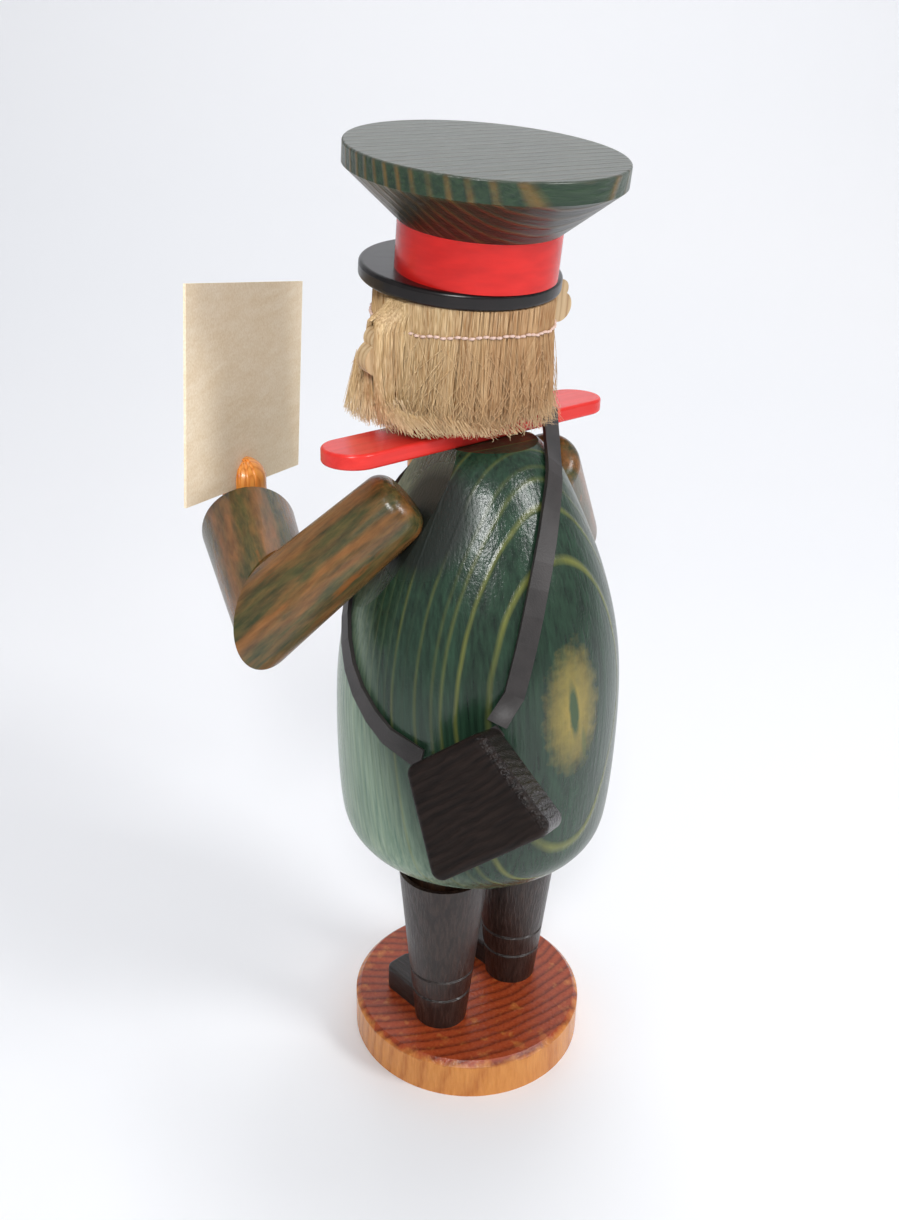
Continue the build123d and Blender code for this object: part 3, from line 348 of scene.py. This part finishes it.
# The arms sit on milled flats: there the green is painted almost black, a painted shade and dark reflection
# under the arms, and the varnish is made matt
mirrored = add_node(body_green, "VectorMath", {0: place}, operation="ABSOLUTE")
seat_middle, seat_reach = (0.0215, 0.0018, 0.1500), 0.020
to_arm = add_node(body_green, "VectorMath", {0: mirrored, 1: seat_middle}, operation="DISTANCE")
arm_share = add_node(body_green, "Math", {0: to_arm, 1: seat_reach}, operation="DIVIDE")
arm_seat_shade = add_node(body_green, "ValToRGB", {0: arm_share}, stops=[(0.50, 1.0), (0.72, 0.0)])
colour = add_node(body_green, "Mix", {0: arm_seat_shade, 6: colour, 7: "17201a"}, data_type="RGBA")
gloss = add_node(body_green, "ValToRGB", {0: arm_share}, stops=[(0.50, 0.55), (0.72, 0.23)])
relief = add_node(body_green, "Bump", {"Height": streak, "Distance": 0.00010, "Strength": 0.55})
relief = add_node(body_green, "Bump", {"Height": lines, "Distance": 0.00025, "Strength": 0.6,
                                       "Normal": relief})
# The thick varnish dried with a pebbled skin, which breaks each glint into sparkles
pebbled = add_node(body_green, "TexNoise", {"Vector": place, "Scale": 1500.0, "Detail": 2.0})
relief = add_node(body_green, "Bump", {"Height": pebbled, "Distance": 0.00010, "Strength": 0.5,
                                       "Normal": relief})
close_finish(body_green, {"Base Color": colour, "Roughness": gloss, "IOR": 1.5, "Normal": relief})
dress(body_green, "body_shell")

# Collar: a thin board with round ends in warm red gloss paint. The brush marks run lengthwise.


def gloss_paint(name, colour, shade, roughness, brush):
    """Paint laid on thick: one colour, a little darker along the brush marks."""
    finish = new_finish(name)
    place = add_node(finish, "TexCoord").outputs["Object"]
    strokes = add_node(finish, "Mapping", {"Vector": place, "Scale": brush})
    marks = add_node(finish, "TexNoise", {"Vector": strokes, "Scale": 1.0, "Detail": 4.0})
    mark = add_node(finish, "ValToRGB", {0: marks}, stops=[(0.35, 0.0), (0.65, 1.0)])
    painted = add_node(finish, "Mix", {0: mark, 6: colour, 7: shade}, data_type="RGBA")
    relief = add_node(finish, "Bump", {"Height": mark, "Distance": 0.00006, "Strength": 0.3})
    return close_finish(finish, {"Base Color": painted, "Roughness": roughness, "IOR": 1.5,
                                 "Specular IOR Level": 0.4, "Normal": relief})


dress(gloss_paint("collar_red_gloss_paint", "e2332c", "d62b25", 0.27, (60, 700, 700)), "collar")

# Arms: two turned rods each, mitred at the elbow and dowelled. The stain is patchy: green over
# brown, with orange flecks where it wore thin, under a gloss varnish. The grain follows each rod.


def arm_stain(name, start, end, band_way):
    """Green and brown stain in bands along a rod from start to end; the bands follow each other one way."""
    finish = new_finish(name)
    grain = (end - start).normalized()
    place, fibres = wood_places(finish, grain, 5)
    band_way = (band_way - grain * band_way.dot(grain)).normalized()
    depth = ring_depth(finish, place, start + band_way * 0.05, grain, 0.0012, 0.012)
    band = yearly(finish, depth, 0.0085, [(0.0, 0.1), (0.2, 1.0), (0.5, 0.9), (0.72, 0.0), (1.0, 0.1)])
    blotch = add_node(finish, "TexNoise", {"Vector": fibres, "Scale": 420.0, "Detail": 4.0, "Roughness": 0.6})
    greenness = add_node(finish, "Math", {0: band, 1: 0.32, 2: blotch}, operation="MULTIPLY_ADD")
    patch = add_node(finish, "ValToRGB", {0: greenness}, stops=[(0.46, 0.0), (0.82, 1.0)])
    mottle = fine_fibres(finish, fibres, 0.0013, [(0.34, 0.0), (0.64, 1.0)])
    streak = fine_fibres(finish, fibres, 0.0006, [(0.35, 0.0), (0.7, 1.0)])
    brown = add_node(finish, "Mix", {0: mottle, 6: "6c4623", 7: "925f32"}, data_type="RGBA")
    green = add_node(finish, "Mix", {0: mottle, 6: "27351f", 7: "4d4f2b"}, data_type="RGBA")
    colour = add_node(finish, "Mix", {0: patch, 6: brown, 7: green}, data_type="RGBA")
    streaked = add_node(finish, "Mix", {0: streak, 6: "2b2b1a", 7: "8d6a3e"}, data_type="RGBA")
    colour = add_node(finish, "Mix", {0: 0.28, 6: colour, 7: streaked}, data_type="RGBA")
    elsewhere = add_node(finish, "VectorMath", {0: fibres, 1: (0.3, 0.1, 0.2)}, operation="ADD")
    flecks = fine_fibres(finish, elsewhere, 0.0020, [(0.62, 0.0), (0.76, 0.5)])
    colour = add_node(finish, "Mix", {0: flecks, 6: colour, 7: "a5571f"}, data_type="RGBA")
    relief = add_node(finish, "Bump", {"Height": streak, "Distance": 0.00008, "Strength": 0.5})
    return close_finish(finish, {"Base Color": colour, "Roughness": 0.25, "IOR": 1.5, "Normal": relief})


for side, sign in (("left", 1), ("right", -1)):
    shoulder = Vector((sign * 0.0215, -0.0018, 0.1538))
    elbow = Vector((sign * 0.0455, -0.0179, 0.1290))
    cuff = Vector((sign * 0.0312, -0.0481, 0.1360))
    dress(arm_stain("upper_arm_stain_" + side, shoulder, elbow, Vector((0, 0, 1))), "upper_arm_" + side)
    dress(arm_stain("forearm_stain_" + side, elbow, cuff, Vector((-sign, 0.4, 0))), "forearm_" + side)

# Hands: dowels of pale wood with carved fingers, glued into the cuffs. An orange varnish makes them
# glow, a little darker in the late wood and along the pores.


def orange_varnish(name, grain, dark, pale, roughness, spots=()):
    """Pale wood under orange varnish. Spots are painted on: place in metres, radius, colour."""
    finish = new_finish(name)
    place, fibres = wood_places(finish, grain, 12)
    depth = ring_depth(finish, place, (0.05, 0.06, 0.15), grain, 0.0008, 0.02)
    late = yearly(finish, depth, 0.0013, [(0.0, 0.4), (0.3, 0.0), (0.6, 0.1), (0.92, 1.0), (1.0, 0.4)])
    streak = fine_fibres(finish, fibres, 0.0006, [(0.35, 0.0), (0.7, 1.0)])
    colour = add_node(finish, "Mix", {0: late, 6: pale, 7: dark}, data_type="RGBA")
    streaked = add_node(finish, "Mix", {0: streak, 6: dark, 7: pale}, data_type="RGBA")
    colour = add_node(finish, "Mix", {0: 0.35, 6: colour, 7: streaked}, data_type="RGBA")
    for middle, radius, paint in spots:
        gap = add_node(finish, "VectorMath", {0: place, 1: tuple(middle)}, operation="DISTANCE")
        share = add_node(finish, "Math", {0: gap, 1: 2 * radius}, operation="DIVIDE")
        mask = add_node(finish, "ValToRGB", {0: share}, stops=[(0.47, 1.0), (0.50, 0.0)])
        colour = add_node(finish, "Mix", {0: mask, 6: colour, 7: paint}, data_type="RGBA")
    relief = add_node(finish, "Bump", {"Height": streak, "Distance": 0.00007, "Strength": 0.4})
    return close_finish(finish, {"Base Color": colour, "Roughness": roughness, "IOR": 1.5, "Normal": relief})


dress(orange_varnish("hand_orange_varnish", (0, 0, 1), "c8702a", "f2a652", 0.25), "hand_left", "hand_right")

# Letter: cut from stiff beige card and pushed into the slot of the left hand. It is matt and faintly
# clouded, and the short fibres of the pulp give it a fine tooth.
card = new_finish("beige_card")
place = add_node(card, "TexCoord").outputs["Object"]
laid = add_node(card, "Mapping", {"Vector": place, "Scale": (90, 90, 420)})
cloudy = add_node(card, "TexNoise", {"Vector": laid, "Scale": 1.0, "Detail": 6.0, "Roughness": 0.7})
pulp = add_node(card, "TexNoise", {"Vector": place, "Scale": 1900.0, "Detail": 3.0})
shade = add_node(card, "ValToRGB", {0: cloudy}, stops=[(0.35, "eed8b6"), (0.65, "faead0")])
pulp_shade = add_node(card, "ValToRGB", {0: pulp}, stops=[(0.3, "d8c198"), (0.7, "fff4e0")])
shade = add_node(card, "Mix", {0: 0.35, 6: shade, 7: pulp_shade}, data_type="RGBA")
relief = add_node(card, "Bump", {"Height": pulp, "Distance": 0.00006, "Strength": 0.35})
close_finish(card, {"Base Color": shade, "Roughness": 0.85, "IOR": 1.45, "Normal": relief})
dress(card, "letter")

# Head, nose and ears: turned and sawn from pale wood. The head leans back a little. Two round black
# eyes and a red ring round the mouth are painted on; the ears are only thinly varnished.
head_x = Vector((0.992967, -0.115807, -0.024587))
head_y = Vector((0.111379, 0.984208, -0.137584))
head_z = Vector((0.040132, 0.133878, 0.990185))
head_middle = Vector((-0.000345, -0.011151, 0.163527))
head_radius = 17.9


def on_head(turn, radius, height):
    """A point by degrees round the head from its left ear, and millimetres out and up from its foot."""
    out = head_x * math.cos(math.radians(turn)) + head_y * math.sin(math.radians(turn))
    return head_middle + (out * radius + head_z * height) / 1000


face = [(on_head(-90 + 21, head_radius, 21.8), 0.0016, "0d0b0a"),
        (on_head(-90 - 21, head_radius, 21.8), 0.0016, "0d0b0a"),
        (on_head(-90, head_radius, 13.8), 0.0047, "b3261c")]
dress(orange_varnish("head_orange_varnish", head_z, "c07434", "e0a062", 0.35, face), "head")
dress(orange_varnish("nose_orange_varnish", head_y, "bb6428", "dd9550", 0.3), "nose")
dress(orange_varnish("ear_thin_varnish", head_z, "a47c50", "d6bb92", 0.4), "ear_left", "ear_right")

# Hair: combed flax, sewn in a row and glued round the back of the head under the brim. Pressed flat
# over the seam, it hangs in thin locks below it; the left ear lifts it and it flares under there.
flax = new_finish("combed_flax")
place = add_node(flax, "TexCoord").outputs["Object"]
hanging_place = add_node(flax, "Mapping", {"Vector": place, "Scale": (1, 1, 0.08)})
lock = add_node(flax, "TexNoise", {"Vector": hanging_place, "Scale": 420.0, "Detail": 2.0})
single = add_node(flax, "TexNoise", {"Vector": hanging_place, "Scale": 2600.0, "Detail": 1.0})
shade = add_node(flax, "ValToRGB", {0: lock}, stops=[(0.34, "a9804c"), (0.66, "d8b780")])
fibre_shade = add_node(flax, "ValToRGB", {0: single}, stops=[(0.3, "8a6236"), (0.7, "f8e2b8")])
shade = add_node(flax, "Mix", {0: 0.45, 6: shade, 7: fibre_shade}, data_type="RGBA")
# Where the fibres are thin the orange head shines through; the loose ends low down are painted paler, a
# painted sheen on the fibres
from_head = add_node(flax, "VectorMath", {0: place, 1: tuple(head_middle)}, operation="SUBTRACT")
thin_way = head_x * math.cos(math.radians(100)) + head_y * math.sin(math.radians(100))
thin = add_node(flax, "VectorMath", {0: from_head, 1: tuple(thin_way * 50)}, operation="DOT_PRODUCT")
thin_share = add_node(flax, "ValToRGB", {0: thin}, stops=[(0.45, 0.0), (0.95, 0.42)])
shade = add_node(flax, "Mix", {0: thin_share, 6: shade, 7: "a3683a"}, data_type="RGBA")
free_height = add_node(flax, "VectorMath", {0: from_head, 1: tuple(head_z * 50)}, operation="DOT_PRODUCT")
# Painted sheen: the fibres low on the head are mixed toward a pale straw colour
low_ends_sheen = add_node(flax, "ValToRGB", {0: free_height}, stops=[(0.12, 0.5), (0.6, 0.0)])
shade = add_node(flax, "Mix", {0: low_ends_sheen, 6: shade, 7: "eedab4"}, data_type="RGBA")
close_finish(flax, {"Base Color": shade, "Roughness": 0.45, "IOR": 1.5, "Sheen Weight": 0.3,
                    "Sheen Roughness": 0.4})

# Degrees round the head, millimetres up from its foot, and metres up from the floor for the collar
dice = random.Random(7)
hair_from, hair_to = -48.0, 228.0
brim_under, seam_height, hair_foot = 32.5, 25.3, 3.4
collar_top, above_collar = 0.1665, 0.0011
# Where each ear stands in degrees round the head, how far the fibres make way, and from which height
ears = ((7.6, 5.6, 28.5), (171.8, 5.6, 34.0))
hair_points, hair_faces = [], []


def add_fibre(route, width):
    """One fibre: a thin three-sided thread through a few points, thinner to its closed tip."""
    first = len(hair_points)
    for i, point in enumerate(route):
        way = (route[min(i + 1, len(route) - 1)] - route[max(i - 1, 0)]).normalized()
        side = way.cross(head_y if abs(way.dot(head_y)) < 0.9 else head_x).normalized()
        other = way.cross(side)
        size = width * (1.0 - 0.6 * (i / (len(route) - 1)) ** 3) / 2000
        for k in range(3):
            angle = math.radians(120 * k)
            hair_points.append(point + (side * math.cos(angle) + other * math.sin(angle)) * size)
    for i in range(len(route) - 1):
        a, b = first + 3 * i, first + 3 * i + 3
        hair_faces.extend((a + k, a + (k + 1) % 3, b + (k + 1) % 3, b + k) for k in range(3))
    last = first + 3 * (len(route) - 1)
    hair_faces.append((first + 2, first + 1, first))
    hair_faces.append((last, last + 1, last + 2))


def hump(value, middle, width):
    """A smooth rise and fall round a middle."""
    return math.exp(-((value - middle) / width) ** 2)


def seam(turn):
    """Height of the seam on the head: it was sewn a little higher in the middle of the back."""
    return seam_height + 2.1 * hump(turn, 75, 50)


def hanging(turn, layer, top, spread, sweep, floor_gap, bend):
    """A route down from a height on the head: leans out by its layer, and falls over the left ear."""
    route = []
    lean = math.tan(math.radians(1.0 + 5.5 * layer))
    over_ear = -8 < turn < 24
    steps = (0.0, 0.1, 0.16, 0.23, 0.38, 0.6, 0.82, 1.0) if over_ear else (0.0, 0.25, 0.52, 0.78, 1.0)
    for down in steps:
        height = top - (top - hair_foot) * down
        free = max(seam(turn) - height, 0)
        at = turn
        for ear_turn, way, ear_top in ears:
            beside_ear = turn - ear_turn
            if abs(beside_ear) < way:
                clear = min(max((ear_top - height) / 3, 0), 1)
                at += math.copysign((way - abs(beside_ear)) * clear, beside_ear)
        radius = head_radius + 0.25 + 1.35 * layer + lean * free + 0.12 * math.sin(math.radians(turn * 83))
        radius += spread * hump(turn, -5, 42) * (free / 22) ** 2
        if over_ear:
            rise = (height - 21.5) / 8.5
            lifted = math.exp(-(rise ** 6 if rise > 0 else 0.085 * rise ** 2) - ((at - 9) / 9) ** 4)
            radius = max(radius, 18.6 + (8.9 + 0.7 * layer) * lifted)
        side = sweep * free + bend * math.sin(math.pi * down)
        route.append(on_head(at + math.degrees(side / radius), radius, height))
    floor_z = collar_top + above_collar + floor_gap
    low = route[-1].z
    if low < floor_z:
        keep = (route[0].z - floor_z) / (route[0].z - low)
        route = [route[0].lerp(point, keep) if i else point for i, point in enumerate(route)]
    return route


fibre_count, bunch_count, crossing_count, stray_count, lock_step = 4800, 1100, 140, 300, 3.1
for number in range(fibre_count):
    turn = hair_from + (hair_to - hair_from) * (number + dice.random()) / fibre_count
    layer = dice.random()
    # The fibres gather into locks, and are fewer on the right half, where the head shows between them
    if dice.random() < 0.45 * hump(turn, 100, 36):
        continue
    gather = 0.16 + 0.34 * hump(turn, 95, 38)
    lock_middle = (math.floor(turn / lock_step + 0.4 * math.sin(turn)) + 0.5) * lock_step
    turn += (lock_middle - turn) * gather
    lock_random = math.sin(lock_middle * 12.9898) * 43758.5453 % 1
    sweep = (lock_random - 0.5) * 0.12 + dice.gauss(0, 0.035)
    ragged = (abs(dice.gauss(0, 1.5)) + 1.3 * lock_random) / 1000
    route = hanging(turn, layer, brim_under, 0.2, sweep, ragged, dice.gauss(0, 0.4))
    add_fibre(route, dice.uniform(0.15, 0.30))

# The loose bunch below the left ear starts along a slanting line and sweeps to the right
for number in range(bunch_count):
    along = dice.random()
    top = 15.5 - 7.5 * along + dice.gauss(0, 0.6)
    layer = 1.1 + 0.7 * dice.random()
    sweep = 0.1 + 0.75 * along + dice.gauss(0, 0.17)
    ragged = abs(dice.gauss(0, 1.3)) / 1000
    route = hanging(-38 + 86 * along, layer, top, 0.3, sweep, ragged, dice.gauss(0, 1.1))
    add_fibre(route, dice.uniform(0.13, 0.26))

# Strays: some cross over the others, and some stand off at the sides and the ends
for number in range(crossing_count):
    route = hanging(dice.uniform(15, 130), 1.35, dice.uniform(10, 27), 0.2, dice.gauss(0, 0.4), 0.0004,
                    dice.gauss(0, 2.0))
    add_fibre(route, 0.14)
for number in range(stray_count):
    turn = dice.choice((dice.uniform(-45, -20), dice.uniform(100, 150), dice.uniform(20, 120)))
    top = dice.uniform(6, 20)
    start = on_head(turn, head_radius + 1.9 + 0.05 * (25 - top), top)
    out = (on_head(turn, 40, top) - start).normalized()
    aside = out.cross(head_z)
    push, drift = dice.uniform(0.001, 0.0035), dice.gauss(0, 0.003)
    fall = min(dice.uniform(0.005, 0.010), start.z - collar_top - 0.0012)
    route = [start + out * push * s ** 1.5 + aside * drift * s ** 2 - head_z * fall * s
             for s in (0, 0.3, 0.55, 0.8, 1.0)]
    add_fibre(route, 0.13)
hair = new_piece("flax_hair", hair_points, hair_faces, flax, smooth=False)
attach(hair, "figure")
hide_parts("hair")

# Thread: the seam that holds the fibres to their tape, sewn in running stitches of pale pink cotton.
# Each stitch stands out of the hair a little, and the twist of the yarn makes it lighter and darker.
cotton = new_finish("pale_pink_cotton")
twist = add_node(cotton, "TexNoise", {"Scale": 5000.0, "Detail": 1.0})
twisted = add_node(cotton, "ValToRGB", {0: twist}, stops=[(0.3, "cfa594"), (0.7, "f2dccf")])
close_finish(cotton, {"Base Color": twisted, "Roughness": 0.7})
stitch_count, stitch_rings, stitch_radius, thread_radius = 66, 7, 19.62, 0.00033
thread_points, thread_faces = [], []
for stitch in range(stitch_count):
    first = len(thread_points)
    for i in range(stitch_rings):
        share = i / (stitch_rings - 1)
        turn = hair_from + (hair_to - hair_from) * (stitch + 0.92 * share) / stitch_count
        height = seam(turn) + 0.16 * math.sin(stitch * 1.7) + 0.1 * math.sin(math.pi * share)
        middle = on_head(turn, stitch_radius + 0.34 * math.sin(math.pi * share), height)
        out = (on_head(turn, 40, height) - middle).normalized()
        thick = thread_radius * (0.5 + 0.5 * math.sin(math.pi * (0.08 + 0.84 * share)))
        for k in range(6):
            angle = math.radians(60 * k)
            thread_points.append(middle + (out * math.cos(angle) + head_z * math.sin(angle)) * thick)
    for i in range(stitch_rings - 1):
        a, b = first + 6 * i, first + 6 * i + 6
        thread_faces.extend((a + k, a + (k + 1) % 6, b + (k + 1) % 6, b + k) for k in range(6))
    thread_faces.append(tuple(first + k for k in range(5, -1, -1)))
    thread_faces.append(tuple(first + 6 * (stitch_rings - 1) + k for k in range(6)))
stitches = new_piece("hair_stitches", thread_points, thread_faces, cotton)
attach(stitches, "figure")
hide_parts("hair_thread")

# Cap: a black painted brim, a red painted band, and a crown turned from softwood. The crown's green
# stain leaves the late wood orange-brown, upright stripes on the rim and a chevron on the cone.
dress(gloss_paint("brim_black_gloss_paint", "191414", "0e0b0b", 0.27, (300, 300, 90)), "cap_brim")
dress(gloss_paint("band_red_gloss_paint", "d9201a", "c91a15", 0.25, (120, 120, 500)), "cap_band")
crown = new_finish("crown_softwood_green_stain")
crown_turn = math.radians(83)
ring_way = Vector((math.cos(crown_turn), math.sin(crown_turn), 0))
crown_grain = Vector((-ring_way.y, ring_way.x, 0.0))
place, fibres = wood_places(crown, crown_grain, 14)
crown_middle, crown_pith_distance, crown_year = Vector((0.0019, -0.0018, 0.2090)), 0.119, 0.0029
crown_pith = crown_middle - ring_way * crown_pith_distance
depth = ring_depth(crown, place, crown_pith, crown_grain, 0.0008, 0.014)
late = yearly(crown, depth, crown_year,
              [(0.0, 0.3), (0.12, 0.0), (0.6, 0.0), (0.74, 0.8), (0.88, 1.0), (1.0, 0.3)])
streak = fine_fibres(crown, fibres, 0.0006, [(0.32, 0.0), (0.7, 1.0)])
some = fine_fibres(crown, place, 0.006, [(0.34, 0.35), (0.6, 1.0)])
rim_late = add_node(crown, "Math", {0: late, 1: some}, operation="MULTIPLY")
rim = add_node(crown, "Mix", {0: rim_late, 6: "1d3325", 7: "7d5a29"}, data_type="RGBA")
rim_streaks = add_node(crown, "Mix", {0: streak, 6: "16281d", 7: "4d6642"}, data_type="RGBA")
rim = add_node(crown, "Mix", {0: 0.3, 6: rim, 7: rim_streaks}, data_type="RGBA")
flat_top = add_node(crown, "Mix", {0: late, 6: "444a42", 7: "33352f"}, data_type="RGBA")
top_streaks = add_node(crown, "Mix", {0: streak, 6: "2d322b", 7: "666a5e"}, data_type="RGBA")
flat_top = add_node(crown, "Mix", {0: 0.4, 6: flat_top, 7: top_streaks}, data_type="RGBA")
cone = add_node(crown, "Mix", {0: rim_late, 6: "141a12", 7: "4c3a1e"}, data_type="RGBA")
from_head = add_node(crown, "VectorMath", {0: place, 1: tuple(head_middle)}, operation="SUBTRACT")
height = add_node(crown, "VectorMath", {0: from_head, 1: tuple(head_z * 10)}, operation="DOT_PRODUCT")
rim_bottom, crown_top = 0.561, 0.604
above = add_node(crown, "ValToRGB", {0: height}, stops=[(crown_top - 0.004, 0.0), (crown_top - 0.001, 1.0)])
below = add_node(crown, "ValToRGB", {0: height}, stops=[(rim_bottom - 0.008, 1.0), (rim_bottom, 0.0)])
colour = add_node(crown, "Mix", {0: above, 6: rim, 7: flat_top}, data_type="RGBA")
colour = add_node(crown, "Mix", {0: below, 6: colour, 7: cone}, data_type="RGBA")
relief = add_node(crown, "Bump", {"Height": streak, "Distance": 0.00012, "Strength": 0.6})
relief = add_node(crown, "Bump", {"Height": late, "Distance": 0.00020, "Strength": 0.5, "Normal": relief})
close_finish(crown, {"Base Color": colour, "Roughness": 0.28, "IOR": 1.5, "Normal": relief})
dress(crown, "cap_crown")

# Strap: one strip of dark grey leather, cut with clean edges. Its fine pebbled skin breaks up the
# light and keeps the gloss low.
leather = new_finish("dark_grey_smooth_leather")
place = add_node(leather, "TexCoord").outputs["Object"]
pebbles = add_node(leather, "TexVoronoi", {"Vector": place, "Scale": 2600.0})
worn = add_node(leather, "TexNoise", {"Vector": place, "Scale": 120.0, "Detail": 3.0})
shade = add_node(leather, "ValToRGB", {0: worn}, stops=[(0.3, "282524"), (0.7, "3b3635")])
relief = add_node(leather, "Bump", {"Height": pebbles, "Distance": 0.00006, "Strength": 0.35})
close_finish(leather, {"Base Color": shade, "Roughness": 0.46, "IOR": 1.5, "Normal": relief})
dress(leather, "strap", "strap_tabs")

# Shoulder bag: a block of softwood stained black-brown. Sanding took more of the soft rings than of
# the hard ones, so its face is rippled, and the varnish glitters along the worn edges.
bag_wood = new_finish("bag_softwood_black_brown_stain")
bag_out = Vector((0.849977, 0.38915, 0.355107))
bag_along = Vector((-0.526684, 0.642966, 0.556056))
bag_up = bag_out.cross(bag_along)
bag_grain = bag_along * math.cos(math.radians(4)) + bag_up * math.sin(math.radians(4))
place, fibres = wood_places(bag_wood, bag_grain, 9)
bag_middle, bag_pith_distance = Vector((0.0362, 0.0343, 0.1006)), 0.06
depth = ring_depth(bag_wood, place, bag_middle - bag_up * bag_pith_distance, bag_grain, 0.0016, 0.008)
late = yearly(bag_wood, depth, 0.0020, [(0.0, 0.3), (0.3, 0.0), (0.65, 0.9), (0.85, 1.0), (1.0, 0.3)])
streak = fine_fibres(bag_wood, fibres, 0.0006, [(0.32, 0.0), (0.7, 1.0)])
colour = add_node(bag_wood, "Mix", {0: late, 6: "100a08", 7: "211713"}, data_type="RGBA")
streaked = add_node(bag_wood, "Mix", {0: streak, 6: "0e0a09", 7: "30241f"}, data_type="RGBA")
colour = add_node(bag_wood, "Mix", {0: 0.5, 6: colour, 7: streaked}, data_type="RGBA")
from_middle = add_node(bag_wood, "VectorMath", {0: place, 1: tuple(bag_middle)}, operation="SUBTRACT")
edge_way = bag_along * math.cos(math.radians(12)) + bag_up * math.sin(math.radians(12))
edge_reach = 0.020
to_edge = add_node(bag_wood, "VectorMath", {0: from_middle, 1: tuple(edge_way / edge_reach)},
                   operation="DOT_PRODUCT")
rough_face = add_node(bag_wood, "ValToRGB", {0: to_edge}, stops=[(0.44, 0.6), (0.52, 0.15)])
shine = add_node(bag_wood, "ValToRGB", {0: to_edge}, stops=[(0.44, 0.18), (0.52, 0.25)])
crumbled = add_node(bag_wood, "ValToRGB", {0: to_edge}, stops=[(0.44, 0.1), (0.52, 1.0)])
crumbs = add_node(bag_wood, "TexNoise", {"Vector": place, "Scale": 1700.0, "Detail": 3.0})
relief = add_node(bag_wood, "Bump", {"Height": late, "Distance": 0.00022, "Strength": 0.55})
relief = add_node(bag_wood, "Bump", {"Height": crumbs, "Distance": 0.00035, "Strength": crumbled,
                                     "Normal": relief})
close_finish(bag_wood, {"Base Color": colour, "Roughness": rough_face, "IOR": 1.5,
                        "Specular IOR Level": shine, "Normal": relief})
dress(bag_wood, "satchel")
